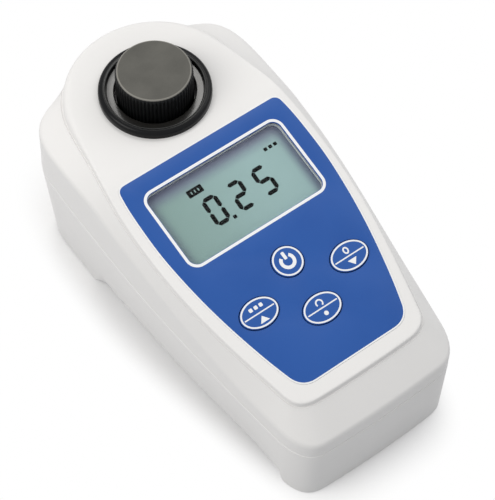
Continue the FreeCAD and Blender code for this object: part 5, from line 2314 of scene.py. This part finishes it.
@dataclass(frozen=True)
class Softbox:
    """Square lamp that faces the object, with lengths in metres."""

    name: str
    direction: Triple
    distance: float
    size: float
    watts: float
    colour: Triple
    aim: Triple = (0.0, 0.0, 0.04)

    def build(self) -> None:
        """Add the lamp to the scene."""
        lamp = bpy.data.lights.new(self.name, "AREA")
        lamp.shape, lamp.size = "SQUARE", self.size
        lamp.energy, lamp.color = self.watts, self.colour
        way = Vector(self.direction).normalized()
        spot = bpy.data.objects.new(self.name, lamp)
        turn = way.to_track_quat("Z", "Y").to_matrix().to_4x4()
        spot.matrix_world = Matrix.Translation(Vector(self.aim) + way * self.distance) @ turn
        bpy.context.scene.collection.objects.link(spot)


WARM_LIGHT: Triple = (1.0, 0.98, 0.945)
COOL_LIGHT: Triple = (0.98, 0.99, 1.0)
SOFTBOXES = (
    Softbox("softbox_left", (-0.71, 0.18, 0.68), 1.0, 0.55, 3.6, WARM_LIGHT),
    Softbox("softbox_rear", (0.32, 0.42, 0.85), 0.9, 0.3, 1.2, WARM_LIGHT),
    Softbox("softbox_right", (0.70, 0.05, 0.71), 1.0, 0.55, 1.4, COOL_LIGHT),
)


@dataclass(frozen=True)
class Studio:
    """White table, soft light and a camera at the photographed angle.

    The pool is the part of the table round the object that shows its shadow.
    """

    photo_width: int = 495
    photo_height: int = 500
    focal_pixels: float = 1886.887
    sensor_mm: float = 36.0
    azimuth_deg: float = -36.517
    elevation_deg: float = 58.689
    roll_deg: float = -0.375
    camera_spot: Triple = (-191.07, -262.331, 559.716)
    clip_m: Pair = (0.01, 20.0)
    floor_radius: float = 2500.0
    floor_middle: float = 200.0
    floor_drop: float = 0.05
    floor_points: int = 96
    pool_front_m: float = 0.035
    pool_spread_m: float = 0.009
    pool_span_m: Pair = (-0.07, 0.02)
    pool_length_m: float = 0.081
    pool_power: float = 4.0
    pool_fade: Pair = (0.88, 1.14)
    table_tones: tuple[Colour, Colour] = ((0.95, 0.95, 0.95, 1.0), (0.93, 0.93, 0.935, 1.0))
    fleck_mm: float = 30.0
    white: Colour = (1.0, 1.0, 1.0, 1.0)
    bounce: Colour = (0.47, 0.48, 0.50, 1.0)
    world_light: float = 0.565

    def camera(self) -> None:
        """Camera looking along the fitted direction, with the fitted roll."""
        a, e, roll = np.radians([self.azimuth_deg, self.elevation_deg, self.roll_deg])
        back = np.array([np.sin(a) * np.cos(e), -np.cos(a) * np.cos(e), np.sin(e)])
        right = unit(np.cross(-back, [0.0, 0.0, 1.0]))
        down = np.cross(-back, right)
        right, down = (
            np.cos(roll) * right + np.sin(roll) * down,
            np.cos(roll) * down - np.sin(roll) * right,
        )
        lens = bpy.data.cameras.new("photo_camera")
        lens.sensor_width = self.sensor_mm
        longest = max(self.photo_width, self.photo_height)
        lens.lens = self.focal_pixels * self.sensor_mm / longest
        lens.clip_start, lens.clip_end = self.clip_m
        camera = bpy.data.objects.new("photo_camera", lens)
        turn = Matrix(np.column_stack([right, -down, back]).tolist()).to_4x4()
        camera.matrix_world = Matrix.Translation(Vector(self.camera_spot) * MM) @ turn
        bpy.context.scene.collection.objects.link(camera)
        bpy.context.scene.camera = camera

    def seen(self, paint: Paint) -> Sock:
        """1 for rays that come straight, by reflection or through glass from the camera.

        Args:
            paint: node tree of a material or the world.

        Returns:
            A value of 0 or 1.
        """
        path = paint.node("ShaderNodeLightPath").socket.node.outputs
        straight, mirrored, through = (
            Sock(paint, path[f"Is {kind} Ray"]) for kind in ("Camera", "Glossy", "Transmission")
        )
        return (straight + mirrored + through).least(1.0)

    def floor(self) -> None:
        """Pale table, matt under the object and plain white further out."""
        shell = Shell()
        radii = (0.0, self.floor_middle, self.floor_radius)
        profile = [(radius, -self.floor_drop) for radius in radii]
        shell.grid(turned(profile, (0.0, 0.0), self.floor_points))
        floor = shell.piece("table_top")
        made = bpy.data.materials.new("table_white")
        made.use_nodes = True
        paint = Paint(made.node_tree)
        x, y, _ = paint.axes()
        half = y.eased(*self.pool_span_m) * self.pool_spread_m + self.pool_front_m
        across, along = x.size() / half, y.size() / self.pool_length_m
        far = (across**self.pool_power + along**self.pool_power) ** (1 / self.pool_power)
        seen = self.seen(paint)
        white = paint.mix(paint.noise(self.fleck_mm), *self.table_tones)
        tone = paint.mix(seen, self.bounce, white)
        matt = paint.node("ShaderNodeBsdfDiffuse", inputs={"Color": tone})
        glow = paint.node("ShaderNodeEmission", inputs={"Color": self.white})
        share = far.eased(*self.pool_fade) * seen
        paint.surface(paint.node("ShaderNodeMixShader", inputs={0: share, 1: matt, 2: glow}))
        floor.data.materials.append(made)

    def world(self) -> None:
        """White surroundings that shine on matt surfaces at a lower level."""
        world = bpy.data.worlds.new("studio")
        world.use_nodes = True
        bpy.context.scene.world = world
        paint = Paint(world.node_tree)
        strength = self.world_light + self.seen(paint) * (1 - self.world_light)
        light = {"Color": self.white, "Strength": strength}
        glow = paint.node("ShaderNodeBackground", inputs=light)
        paint.node("ShaderNodeOutputWorld", inputs={"Surface": glow})

    def build(self) -> None:
        """Set the view, the floor, the lights and the camera."""
        bpy.context.scene.view_settings.view_transform = "Standard"
        self.floor()
        self.world()
        for softbox in SOFTBOXES:
            softbox.build()
        self.camera()


def main() -> None:
    """Build every sub-assembly in order."""
    logging.basicConfig(level=logging.INFO, format="%(name)s: %(message)s")
    dress_packed_nodes()
    Case().dress()
    FrontFace().dress()
    Display().dress()
    Keypad().dress()
    BatteryDoor().dress()
    VialWell().dress()
    Studio().build()
    bpy.context.view_layer.update()


if __name__ == "__main__":
    main()
